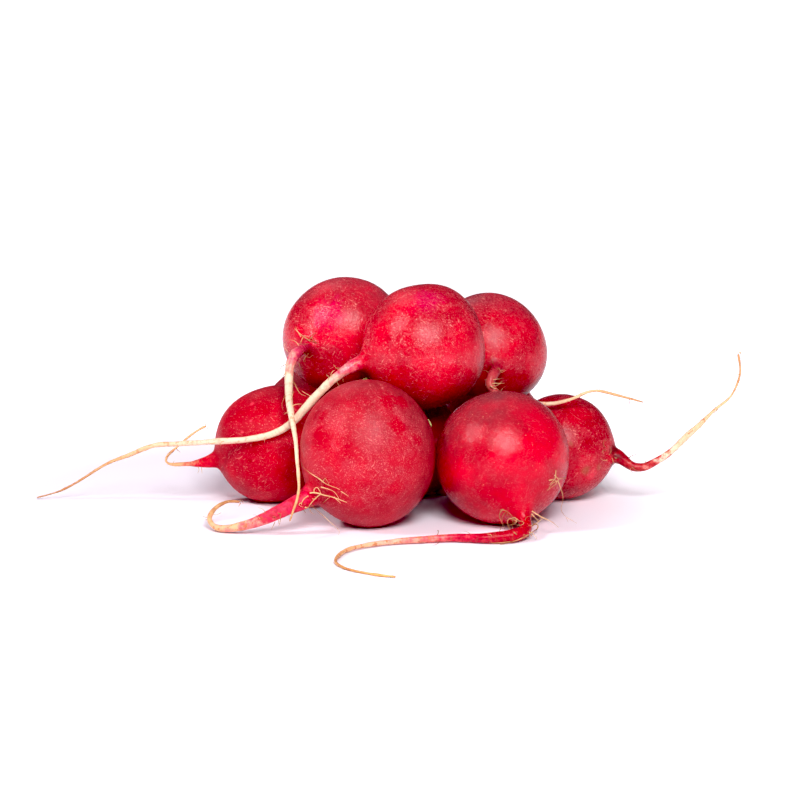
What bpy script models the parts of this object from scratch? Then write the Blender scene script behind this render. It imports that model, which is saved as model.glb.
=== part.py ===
"""A loose heap of ten red radishes, topped and with their tap roots left long.

Each radish grew as one piece, so each is one closed solid: the round bulb, the
neck that narrows into the tap root, the root itself down to its thin tip, and
the short stubs of the leaf stalks that were cut off its crown. Seven bulbs lie
on the surface, each on a small flat spot, and three rest on top of them.

Sizes and places are in millimetres: X to the right, Y away from the front, Z up
from the surface that the heap lies on.
"""

import math
import random
from dataclasses import dataclass

import bmesh
import bpy
from mathutils import Matrix, Vector

MM = 0.001

# The point of the heap's plan that becomes the origin, under the middle of its box
HEAP_MIDDLE = Vector((-4.5, 22.4, 0.0))

# How finely the bulbs are faceted
BULB_SIDES = 24
CROWN_RINGS = 6
ROOT_RINGS = 5
NECK_RINGS = 4
NECK_STARTS = math.radians(62)
NECK_LEAD = 1.1
NECK_TAIL = 0.55
CROWN_DIMPLE = 1.1
DIMPLE_ACROSS = 11.0

# How finely the tap roots are faceted
ROOT_BEVEL = 1
ROOT_SPACING = 3.6
MOST_ROOT_POINTS = 34
FINE_STEPS = 12

# How far the root starts inside the neck, and its thickness there beside the neck's
ROOT_SUNK = 5.0
ROOT_SHARE = 0.94

# The cut leaf stalks on each crown
STALK_SIDES = 6
STALK_THICKNESS = 2.3
STALK_TIP_SHARE = 0.84
STALK_SPREAD = 1.25
STALK_SUNK = 2.2
GOLDEN_ANGLE = math.radians(137.5)

# The slab below the surface that cuts the flat spots
SURFACE_CUTTER = (320.0, 320.0, 20.0)
MERGE = 0.0001


@dataclass
class Radish:
    """One radish: a bulb turned about its own axis, and the course of its tap root.

    aim points from the bulb's centre to its root. crown points to its leaf stalks,
    and is straight opposite where it isn't given. A fullness of 2 makes that end
    of the bulb a true oval, and more makes it squarer. stretch lists a direction
    and how far the bulb is stretched along it. route holds the root's points after
    the neck, each as x, y, z and the root's thickness there.
    """

    name: str
    centre: tuple
    across: float
    crown_reach: float
    root_reach: float
    neck_reach: float
    neck_thickness: float
    aim: tuple
    route: list
    crown_fullness: float = 2.0
    root_fullness: float = 2.0
    stretch: tuple = ()
    crown: tuple = None
    stalks: int = 5
    stalk_length: float = 3.0
    on_surface: bool = True
    colour: tuple = (0.62, 0.012, 0.035)


RADISHES = [
    Radish(
        name="radish_top_left",
        centre=(-18.1, 50.4, 49.3),
        across=36.2,
        crown_reach=17.6,
        root_reach=17.6,
        neck_reach=20.8,
        neck_thickness=3.5,
        aim=(-0.52, -0.85, -0.04),
        stretch=[((0.88, 0.0, 0.47), 1.08)],
        route=[
            (-31.7, 26.6, 47.8, 3.4),
            (-33.2, 25.0, 45.8, 3.3),
            (-33.8, 23.6, 43.6, 2.8),
            (-34.0, 22.2, 41.1, 2.7),
            (-34.0, 20.6, 38.6, 2.5),
            (-33.9, 17.2, 36.4, 2.4),
            (-33.4, 12.6, 34.1, 2.1),
            (-32.9, 8.6, 31.9, 1.9),
            (-32.1, 5.6, 29.2, 1.7),
            (-31.5, 2.4, 26.7, 1.4),
            (-31.0, -2.0, 24.4, 1.3),
            (-30.8, -4.2, 21.7, 1.1),
            (-30.4, -6.4, 19.0, 1.0),
            (-30.0, -9.6, 16.1, 1.0),
            (-29.9, -13.2, 13.5, 0.8),
            (-30.5, -16.8, 10.9, 0.7),
            (-31.3, -19.2, 9.0, 0.6),
            (-32.4, -21.0, 5.8, 0.6),
        ],
        on_surface=False,
    ),
    Radish(
        name="radish_top_middle",
        centre=(7.0, 21.8, 50.7),
        across=37.8,
        crown_reach=17.8,
        crown_fullness=2.5,
        root_reach=18.6,
        neck_reach=22.4,
        neck_thickness=4.3,
        aim=(-0.90, -0.37, -0.17),
        crown=(0.66, 0.70, 0.20),
        route=[
            (-16.8, 11.8, 44.9, 3.2),
            (-18.9, 11.1, 43.3, 2.8),
            (-21.2, 10.4, 41.6, 2.7),
            (-26.1, 9.6, 36.7, 2.6),
            (-30.0, 11.4, 31.8, 2.5),
            (-32.5, 12.8, 29.0, 2.4),
            (-34.8, 13.2, 27.1, 2.3),
            (-37.8, 13.6, 25.4, 2.1),
            (-40.9, 13.8, 24.3, 2.0),
            (-43.9, 14.2, 23.6, 1.9),
            (-48.5, 15.0, 22.8, 1.8),
            (-56.6, 18.0, 21.8, 1.8),
            (-61.3, 20.0, 21.0, 1.7),
            (-68.9, 22.4, 20.1, 1.6),
            (-76.1, 24.4, 19.2, 1.5),
            (-84.1, 27.4, 15.4, 1.3),
            (-90.9, 29.6, 12.4, 0.8),
            (-98.1, 32.0, 7.5, 0.7),
            (-105.7, 33.4, 2.9, 0.6),
            (-113.7, 33.4, 0.6, 0.6),
        ],
        on_surface=False,
    ),
    Radish(
        name="radish_top_right",
        centre=(29.1, 50.8, 45.0),
        across=33.4,
        crown_reach=16.9,
        root_reach=16.9,
        neck_reach=18.8,
        neck_thickness=3.4,
        aim=(0.02, -0.98, -0.18),
        stretch=[((0.66, 0.0, -0.75), 1.09)],
        route=[
            (28.5, 28.0, 40.6, 3.1),
            (27.7, 26.8, 39.2, 3.0),
            (27.7, 25.8, 37.8, 2.8),
            (28.8, 25.0, 36.3, 2.5),
            (32.3, 24.6, 34.0, 1.8),
            (38.5, 25.2, 32.5, 1.4),
            (46.2, 25.2, 32.1, 1.1),
            (48.4, 24.8, 32.5, 1.1),
            (52.2, 24.4, 33.5, 1.0),
            (54.5, 24.4, 34.5, 0.9),
            (57.2, 24.8, 35.8, 0.8),
            (59.9, 25.4, 36.3, 0.7),
            (62.3, 26.0, 35.9, 0.7),
            (65.4, 26.8, 34.9, 0.7),
            (70.2, 28.0, 33.4, 0.6),
            (75.4, 29.5, 31.7, 0.6),
        ],
        on_surface=False,
    ),
    Radish(
        name="radish_front_left",
        centre=(-9.6, 0.0, 21.7),
        across=41.0,
        crown_reach=20.4,
        root_reach=20.4,
        neck_reach=23.0,
        neck_thickness=5.2,
        aim=(-0.77, -0.45, -0.45),
        stretch=[((0.0, 0.0, 1.0), 1.07), ((0.0, 1.0, 0.0), 0.97)],
        crown=(0.84, 0.40, 0.34),
        route=[
            (-28.9, -12.2, 10.7, 4.5),
            (-32.4, -13.0, 8.8, 3.9),
            (-36.6, -13.4, 6.6, 3.6),
            (-40.7, -13.2, 4.6, 3.2),
            (-46.0, -12.4, 2.7, 2.7),
            (-50.5, -11.6, 1.6, 2.3),
            (-53.8, -10.6, 1.4, 2.0),
            (-55.8, -9.0, 1.7, 1.7),
            (-56.9, -7.0, 2.8, 1.6),
            (-57.0, -4.6, 4.0, 1.4),
            (-55.5, -2.0, 5.6, 1.2),
            (-53.5, 0.0, 6.5, 1.0),
            (-51.5, 1.6, 6.9, 0.9),
            (-48.1, 3.0, 6.3, 0.7),
        ],
        stalks=4,
        stalk_length=2.4,
    ),
    Radish(
        name="radish_front_right",
        centre=(31.0, 4.4, 19.9),
        across=40.4,
        crown_reach=19.8,
        root_reach=20.4,
        neck_reach=25.4,
        neck_thickness=2.9,
        aim=(0.256, -0.724, -0.641),
        route=[
            (37.3, -17.2, 3.0, 3.0),
            (36.0, -20.2, 2.4, 3.3),
            (33.6, -22.2, 2.0, 3.5),
            (30.4, -23.2, 1.8, 3.4),
            (27.6, -23.9, 1.7, 3.1),
            (23.4, -24.0, 1.6, 2.8),
            (15.8, -22.2, 1.4, 2.3),
            (4.4, -24.3, 1.2, 1.8),
            (-0.3, -25.1, 1.1, 1.6),
            (-7.3, -28.2, 1.0, 1.5),
            (-13.6, -32.6, 0.9, 1.3),
            (-17.0, -38.8, 0.8, 1.2),
            (-18.5, -47.3, 0.7, 0.9),
            (-16.7, -53.2, 0.6, 0.8),
            (-13.2, -57.3, 0.5, 0.7),
            (-6.7, -62.0, 0.5, 0.7),
            (-1.1, -64.6, 0.5, 0.6),
        ],
    ),
    Radish(
        name="radish_right",
        centre=(50.4, 36.2, 16.3),
        across=33.1,
        crown_reach=16.6,
        root_reach=16.6,
        neck_reach=18.6,
        neck_thickness=4.4,
        aim=(0.93, -0.32, -0.10),
        route=[
            (70.2, 29.6, 12.7, 3.3),
            (72.6, 28.8, 11.4, 2.8),
            (75.4, 28.4, 11.4, 2.5),
            (78.1, 28.0, 12.7, 2.3),
            (83.8, 27.4, 16.6, 1.9),
            (88.9, 26.8, 22.0, 1.9),
            (93.4, 26.2, 26.2, 1.4),
            (95.4, 26.0, 28.8, 1.0),
            (98.8, 26.0, 31.6, 0.7),
            (101.9, 26.0, 34.2, 0.6),
            (104.2, 26.0, 39.5, 0.6),
            (104.6, 26.0, 42.8, 0.6),
            (103.7, 26.0, 47.8, 0.6),
        ],
    ),
    Radish(
        name="radish_left",
        centre=(-37.6, 34.4, 17.8),
        across=36.2,
        crown_reach=18.8,
        root_reach=19.8,
        root_fullness=2.25,
        neck_reach=21.8,
        neck_thickness=3.6,
        aim=(-0.95, -0.24, -0.20),
        stretch=[((0.0, 1.0, 0.0), 1.04)],
        route=[
            (-59.9, 28.4, 13.2, 2.8),
            (-61.6, 27.8, 13.0, 2.3),
            (-63.6, 27.4, 12.8, 1.8),
            (-65.8, 27.4, 12.7, 1.4),
            (-69.6, 27.8, 12.4, 1.1),
            (-72.5, 28.4, 12.5, 0.9),
            (-73.3, 29.0, 13.3, 0.9),
            (-71.8, 29.6, 15.3, 0.8),
            (-69.6, 30.2, 17.2, 0.7),
            (-65.7, 31.0, 20.5, 0.6),
            (-62.2, 31.6, 22.9, 0.6),
            (-60.1, 32.0, 23.8, 0.6),
        ],
        stalk_length=2.2,
    ),
    Radish(
        name="radish_rear_left",
        centre=(-27.0, 70.6, 17.7),
        across=36.0,
        crown_reach=17.2,
        root_reach=17.4,
        neck_reach=20.0,
        neck_thickness=4.2,
        aim=(-0.42, 0.78, -0.46),
        route=[
            (-37.6, 88.6, 5.6, 3.2),
            (-39.6, 93.2, 3.2, 2.6),
            (-40.2, 98.2, 1.8, 2.2),
            (-37.6, 103.8, 1.2, 1.8),
            (-32.4, 107.6, 1.0, 1.5),
            (-25.8, 109.0, 0.9, 1.2),
            (-19.8, 107.2, 0.8, 1.0),
            (-15.0, 103.6, 0.7, 0.8),
            (-11.4, 99.2, 0.7, 0.6),
        ],
    ),
    Radish(
        name="radish_inner",
        centre=(1.6, 38.8, 17.9),
        across=34.2,
        crown_reach=19.4,
        root_reach=18.2,
        neck_reach=19.6,
        neck_thickness=3.6,
        aim=(0.56, 0.06, -0.83),
        route=[
            (15.5, 39.8, 1.35, 3.1),
            (19.5, 39.6, 1.1, 2.5),
            (23.6, 37.2, 1.3, 2.0),
            (26.8, 33.4, 1.1, 1.6),
            (29.8, 30.6, 1.0, 1.2),
            (33.4, 30.6, 0.8, 0.9),
            (36.2, 32.8, 0.7, 0.6),
        ],
        stalks=4,
        stalk_length=2.4,
    ),
    Radish(
        name="radish_rear_right",
        centre=(29.4, 69.8, 16.4),
        across=33.4,
        crown_reach=16.4,
        root_reach=16.4,
        neck_reach=18.8,
        neck_thickness=3.8,
        aim=(0.50, 0.80, -0.34),
        route=[
            (39.8, 86.4, 7.2, 2.9),
            (42.6, 90.6, 4.6, 2.4),
            (46.4, 94.8, 2.4, 2.0),
            (52.0, 98.2, 1.3, 1.6),
            (58.8, 99.4, 1.0, 1.3),
            (65.2, 97.8, 0.8, 1.0),
            (70.2, 94.0, 0.7, 0.8),
            (73.0, 89.2, 0.7, 0.6),
        ],
    ),
]


def clear_scene():
    """Removes whatever the scene holds, so that only the heap is left."""
    for obj in list(bpy.data.objects):
        bpy.data.objects.remove(obj, do_unlink=True)


def collection_named(name, hidden=False):
    """Makes a collection in the scene; a hidden one is left out of the heap."""
    made = bpy.data.collections.new(name)
    made.hide_render = hidden
    bpy.context.scene.collection.children.link(made)
    return made


def skin(radish):
    """The radish's own red material."""
    made = bpy.data.materials.new(radish.name + "_skin")
    made.use_nodes = True
    shader = made.node_tree.nodes["Principled BSDF"]
    shader.inputs["Base Color"].default_value = (*radish.colour, 1.0)
    shader.inputs["Roughness"].default_value = 0.38
    shader.inputs["Metallic"].default_value = 0.0
    return made


def bezier(a, b, c, d, s):
    """The point at s of the cubic from a to d, with b and c as its handles."""
    r = 1.0 - s
    return tuple(
        r**3 * p + 3 * r * r * s * q + 3 * r * s * s * t + s**3 * w
        for p, q, t, w in zip(a, b, c, d)
    )


def bulb_profile(radish):
    """The bulb's and neck's outline as (radius, height), from the crown down."""
    radius = radish.across / 2
    points = []
    power = 2.0 / radish.crown_fullness
    for ring in range(CROWN_RINGS):
        turn = ring / CROWN_RINGS * math.pi / 2
        out = radius * math.sin(turn) ** power
        dip = CROWN_DIMPLE * max(0.0, 1.0 - 2.0 * out / DIMPLE_ACROSS)
        points.append((out, radish.crown_reach * math.cos(turn) ** power - dip))
    points.append((radius, 0.0))
    power = 2.0 / radish.root_fullness
    for ring in range(1, ROOT_RINGS + 1):
        turn = ring / ROOT_RINGS * NECK_STARTS
        out = radius * math.cos(turn) ** power
        points.append((out, -radish.root_reach * math.sin(turn) ** power))
    before, start = points[-2:]
    end = (radish.neck_thickness / 2, -radish.neck_reach)
    first = tuple(b + NECK_LEAD * (b - a) for a, b in zip(before, start))
    second = (end[0], end[1] + NECK_TAIL * (start[1] - end[1]))
    for ring in range(1, NECK_RINGS + 1):
        points.append(bezier(start, first, second, end, ring / NECK_RINGS))
    points.append((0.0, -radish.neck_reach))
    return points


def stretched(radish, turned):
    """The matrix, in the bulb's own axes, of its stretches along the heap's directions."""
    turn = turned.to_matrix().to_4x4()
    wide = Matrix.Identity(4)
    for along, by in radish.stretch:
        wide = Matrix.Scale(by, 4, Vector(along)) @ wide
    return turn.inverted() @ wide @ turn


def make_bulb(radish, parts):
    """Turns the bulb's profile about its axis and places it with its crown away from its root."""
    mesh = bpy.data.meshes.new(radish.name)
    points = [(out * MM, 0.0, up * MM) for out, up in bulb_profile(radish)]
    mesh.from_pydata(points, [(k, k + 1) for k in range(len(points) - 1)], [])
    bulb = bpy.data.objects.new(radish.name, mesh)
    parts.objects.link(bulb)
    screw = bulb.modifiers.new("turned", "SCREW")
    screw.steps = BULB_SIDES
    screw.render_steps = BULB_SIDES
    screw.use_merge_vertices = True
    screw.merge_threshold = MERGE
    applied(bulb)
    turned = Vector((0.0, 0.0, 1.0)).rotation_difference(-Vector(radish.aim))
    bulb.data.transform(stretched(radish, turned))
    bulb.rotation_mode = "QUATERNION"
    bulb.rotation_quaternion = turned
    bulb.location = (Vector(radish.centre) - HEAP_MIDDLE) * MM
    return bulb


def applied(obj):
    """Gives the object the mesh that its modifiers make, and drops them."""
    bpy.context.view_layer.update()
    graph = bpy.context.evaluated_depsgraph_get()
    mesh = bpy.data.meshes.new_from_object(obj.evaluated_get(graph))
    mesh.name = obj.name
    obj.modifiers.clear()
    obj.data = mesh


def through(knots, s):
    """The smooth curve through the knots, at s counted in knots."""
    last = len(knots) - 1
    i = min(int(s), last - 1)
    s -= i
    a, b, c, d = (knots[min(max(i + k, 0), last)] for k in (-1, 0, 1, 2))
    return [
        0.5
        * (2 * q + (r - p) * s + (2 * p - 5 * q + 4 * r - w) * s**2 + (3 * q - p - 3 * r + w) * s**3)
        for p, q, r, w in zip(a, b, c, d)
    ]


def root_points(radish):
    """Points down the middle of the tap root, from inside the neck to the tip."""
    aim = Vector(radish.aim).normalized()
    centre = Vector(radish.centre)
    reaches = (radish.neck_reach - ROOT_SUNK, radish.neck_reach)
    knots = [(*(centre + aim * reach), radish.neck_thickness * ROOT_SHARE) for reach in reaches]
    knots += radish.route
    steps = FINE_STEPS * (len(knots) - 1)
    fine = [through(knots, k / FINE_STEPS) for k in range(steps + 1)]
    runs = [0.0]
    for a, b in zip(fine, fine[1:]):
        runs.append(runs[-1] + (Vector(b[:3]) - Vector(a[:3])).length)
    count = min(MOST_ROOT_POINTS, round(runs[-1] / ROOT_SPACING))
    picked = []
    for k in range(count + 1):
        reach = runs[-1] * k / count
        nearest = min(range(len(fine)), key=lambda i: abs(runs[i] - reach))
        picked.append(fine[nearest])
    return picked


def make_root(radish, pieces):
    """The tap root as a bevelled curve, made a closed mesh."""
    points = root_points(radish)
    curve = bpy.data.curves.new(radish.name + "_root", "CURVE")
    curve.dimensions = "3D"
    # A point's radius then holds the root's thickness there
    curve.bevel_depth = 0.5 * MM
    curve.bevel_resolution = ROOT_BEVEL
    curve.use_fill_caps = True
    spline = curve.splines.new("POLY")
    spline.points.add(len(points) - 1)
    for target, (x, y, z, thick) in zip(spline.points, points):
        place = (Vector((x, y, z)) - HEAP_MIDDLE) * MM
        target.co = (*place, 1.0)
        target.radius = thick
    guide = bpy.data.objects.new(radish.name + "_root", curve)
    pieces.objects.link(guide)
    bpy.context.view_layer.update()
    graph = bpy.context.evaluated_depsgraph_get()
    mesh = bpy.data.meshes.new_from_object(guide.evaluated_get(graph))
    weld(mesh)
    root = bpy.data.objects.new(radish.name + "_root_solid", mesh)
    root.matrix_world = guide.matrix_world
    pieces.objects.link(root)
    bpy.data.objects.remove(guide, do_unlink=True)
    return root


def weld(mesh):
    """Merges the caps of a curve's mesh with its sides."""
    shape = bmesh.new()
    shape.from_mesh(mesh)
    bmesh.ops.remove_doubles(shape, verts=shape.verts, dist=0.01 * MM)
    bmesh.ops.recalc_face_normals(shape, faces=shape.faces)
    shape.to_mesh(mesh)
    shape.free()


def make_stalks(radish, bulb, pieces):
    """Short cut leaf stalks, set in a spiral on the crown and leaning outwards."""
    draw = random.Random(radish.name)
    up = Vector(radish.crown or [-along for along in radish.aim])
    turned = Vector((0.0, 0.0, 1.0)).rotation_difference(up)
    frame = Matrix.LocRotScale(bulb.location, turned, None)
    for k in range(radish.stalks):
        angle = k * GOLDEN_ANGLE + draw.uniform(-0.3, 0.3)
        out = STALK_SPREAD * math.sqrt(k)
        lean = 0.10 + 0.10 * out + draw.uniform(-0.05, 0.05)
        length = STALK_SUNK + radish.stalk_length * draw.uniform(0.75, 1.15)
        thick = STALK_THICKNESS * draw.uniform(0.85, 1.15)
        shape = bmesh.new()
        bmesh.ops.create_cone(
            shape,
            cap_ends=True,
            segments=STALK_SIDES,
            radius1=0.5 * thick * MM,
            radius2=0.5 * thick * STALK_TIP_SHARE * MM,
            depth=length * MM,
        )
        mesh = bpy.data.meshes.new(f"{radish.name}_stalk_{k}")
        shape.to_mesh(mesh)
        shape.free()
        stalk = bpy.data.objects.new(mesh.name, mesh)
        pieces.objects.link(stalk)
        base = radish.crown_reach - CROWN_DIMPLE - STALK_SUNK + length / 2
        place = Matrix.Translation((out * math.cos(angle) * MM, out * math.sin(angle) * MM, base * MM))
        tip = Vector((math.sin(lean) * math.cos(angle), math.sin(lean) * math.sin(angle), math.cos(lean)))
        turn = Vector((0.0, 0.0, 1.0)).rotation_difference(tip).to_matrix().to_4x4()
        stalk.matrix_world = frame @ place @ turn


def fused(bulb, pieces):
    """Joins the root and the stalks to the bulb as one body, and removes their own objects."""
    join = bulb.modifiers.new("grown together", "BOOLEAN")
    join.operation = "UNION"
    join.operand_type = "COLLECTION"
    join.collection = pieces
    join.solver = "EXACT"
    applied(bulb)
    for piece in list(pieces.objects):
        bpy.data.objects.remove(piece, do_unlink=True)
    bpy.data.collections.remove(pieces)


def surface_cutter(cutters):
    """A slab whose top is the surface that the heap lies on."""
    wide, deep, tall = SURFACE_CUTTER
    shape = bmesh.new()
    bmesh.ops.create_cube(shape, size=1.0)
    mesh = bpy.data.meshes.new("surface_cutter")
    shape.to_mesh(mesh)
    shape.free()
    mesh.transform(Matrix.Diagonal((wide * MM, deep * MM, tall * MM, 1.0)))
    cutter = bpy.data.objects.new("surface_cutter", mesh)
    cutters.objects.link(cutter)
    cutter.location = (0.0, 0.0, -tall / 2 * MM)
    cutter.hide_render = True
    cutter.display_type = "WIRE"
    return cutter


def rest(bulb, cutter):
    """Cuts the bulb's lowest skin to a small flat spot."""
    cut = bulb.modifiers.new("flat spot", "BOOLEAN")
    cut.operation = "DIFFERENCE"
    cut.object = cutter
    cut.solver = "EXACT"
    applied(bulb)


def make_radish(radish, parts, cutter):
    """Builds one whole radish in its place."""
    bulb = make_bulb(radish, parts)
    pieces = collection_named(radish.name + "_pieces", hidden=True)
    make_root(radish, pieces)
    make_stalks(radish, bulb, pieces)
    fused(bulb, pieces)
    if radish.on_surface:
        rest(bulb, cutter)
    bulb.data.materials.clear()
    bulb.data.materials.append(skin(radish))
    bulb.data.shade_smooth()
    bulb.data.set_sharp_from_angle(angle=math.radians(50))
    return bulb


def main():
    """Builds the heap."""
    clear_scene()
    parts = collection_named("bunch_of_radishes")
    cutters = collection_named("cutters", hidden=True)
    cutter = surface_cutter(cutters)
    for radish in RADISHES:
        make_radish(radish, parts, cutter)


main()
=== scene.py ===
"""A loose heap of ten red radishes, topped, with their long tap roots left on.

Each radish is drawn ring by ring from its crown to the tip of its tap root, then
smoothed and made uneven. Fine side roots and the cut leaf stalks are pieces of
their own. Sizes and places are in millimetres: X to the right, Y away from the
front, Z up from the surface that the heap lies on.
"""

import sys
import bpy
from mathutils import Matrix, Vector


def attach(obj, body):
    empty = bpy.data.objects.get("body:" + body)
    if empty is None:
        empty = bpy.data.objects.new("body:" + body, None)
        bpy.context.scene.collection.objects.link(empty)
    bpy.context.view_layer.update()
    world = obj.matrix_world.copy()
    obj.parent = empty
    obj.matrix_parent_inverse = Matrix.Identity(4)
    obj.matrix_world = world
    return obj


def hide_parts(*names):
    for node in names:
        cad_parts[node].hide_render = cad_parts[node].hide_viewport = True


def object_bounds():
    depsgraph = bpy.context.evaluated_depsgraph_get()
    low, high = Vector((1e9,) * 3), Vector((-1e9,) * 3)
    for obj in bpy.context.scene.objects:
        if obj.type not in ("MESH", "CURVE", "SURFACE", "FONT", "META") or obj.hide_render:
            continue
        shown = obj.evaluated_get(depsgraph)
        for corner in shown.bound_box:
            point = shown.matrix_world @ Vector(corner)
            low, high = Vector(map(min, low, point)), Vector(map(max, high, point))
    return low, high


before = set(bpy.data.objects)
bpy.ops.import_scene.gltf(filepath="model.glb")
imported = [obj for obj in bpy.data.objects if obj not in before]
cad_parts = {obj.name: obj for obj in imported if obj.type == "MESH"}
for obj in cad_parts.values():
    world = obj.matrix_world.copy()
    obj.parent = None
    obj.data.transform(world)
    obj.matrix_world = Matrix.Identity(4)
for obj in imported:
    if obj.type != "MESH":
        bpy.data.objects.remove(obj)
CAD_BOX = [list(corner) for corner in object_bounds()]

import logging
import math
import random
from dataclasses import dataclass, field
from enum import Enum
from typing import Any

import bpy
from mathutils import Matrix, Quaternion, Vector

MM = 0.001
HEAP_MIDDLE = Vector((-4.5, 22.4, 0.0))
UP = Vector((0.0, 0.0, 1.0))
BODY = "root"

# How finely each radish is drawn
SIDES = 24
CROWN_RINGS = 11
SHOULDER_RINGS = 9
NECK_RINGS = 6
SMOOTHED_SHARE = (2.0 + math.cos(2 * math.pi / SIDES)) / 3.0

# The crown's hollow, and the pit in its middle
CROWN_DIMPLE = 1.1
DIMPLE_ACROSS = 11.0
PIT_RADIUS = 0.35
PIT_DEPTH = 0.2

# Where the shoulder goes over into the neck, and how long the curve's two handles are
NECK_STARTS = math.radians(62)
NECK_LEAD = 1.1 * SHOULDER_RINGS / 5
NECK_TAIL = 0.55

# How the root's rings follow each other: closer near the neck, and the last at the tip
STEPS_A_KNOT = 12
ROOT_STEP = 2.3
NEAR_NECK = 10.0
CLOSER = 0.5
LAST_GAP = 0.3

# How far down the neck the bulb's stretching ends, and how far up the bulb the root's knots reach
STRETCH_ENDS = 8.0
KNOTS_REACH = 4.0

# How uneven bulb and root are: which of them, the size of the lumps in metres, their height
LUMPS = (("bulb", 0.016, 0.55), ("root", 0.0034, 0.42), ("root", 0.0012, 0.16))

Colour = tuple[float, float, float]
Point = tuple[float, float, float]
Fade = tuple[tuple[float, Colour], ...]


def seen(red: int, green: int, blue: int) -> Colour:
    """The linear colour of three screen values.

    Args:
        red: from 0 to 255.
        green: from 0 to 255.
        blue: from 0 to 255.

    Returns:
        The same colour as the shader takes it.
    """
    return tuple(
        c / 12.92 if c <= 0.04045 else ((c + 0.055) / 1.055) ** 2.4
        for c in (red / 255, green / 255, blue / 255)
    )


def placed(point: Point | Vector) -> Vector:
    """A point of the heap in metres, with the heap's middle as the origin."""
    return (Vector(point) - HEAP_MIDDLE) * MM


class Sock:
    """One value in a material's nodes, with Python's own signs for its sums."""

    def __init__(self, recipe: "Recipe", socket: bpy.types.NodeSocket) -> None:
        """Keeps the socket and the recipe that it belongs to."""
        self.recipe = recipe
        self.socket = socket

    def sum(self, operation: str, *others: "Sock | float", first: bool = True) -> "Sock":
        """Adds a Math node.

        Args:
            operation: the Math node's operation.
            others: the other values.
            first: whether this value comes before them.

        Returns:
            The result.
        """
        values = [self, *others] if first else [*others, self]
        links = dict(enumerate(values))
        return self.recipe.add("Math", {"operation": operation}, links)

    def __add__(self, other: "Sock | float") -> "Sock":
        """Self plus other."""
        return self.sum("ADD", other)

    __radd__ = __add__

    def __sub__(self, other: "Sock | float") -> "Sock":
        """Self minus other."""
        return self.sum("SUBTRACT", other)

    def __rsub__(self, other: float) -> "Sock":
        """Other minus self."""
        return self.sum("SUBTRACT", other, first=False)

    def __mul__(self, other: "Sock | float") -> "Sock":
        """Self times other."""
        return self.sum("MULTIPLY", other)

    __rmul__ = __mul__

    def __truediv__(self, other: "Sock | float") -> "Sock":
        """Self over other."""
        return self.sum("DIVIDE", other)

    def between(self, low: float, high: float) -> "Sock":
        """Nought below low, one above high and a smooth rise from one to the other."""
        settings = {"interpolation_type": "SMOOTHSTEP"}
        return self.recipe.add("MapRange", settings, {0: self, 1: low, 2: high, 3: 0.0, 4: 1.0})


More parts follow.
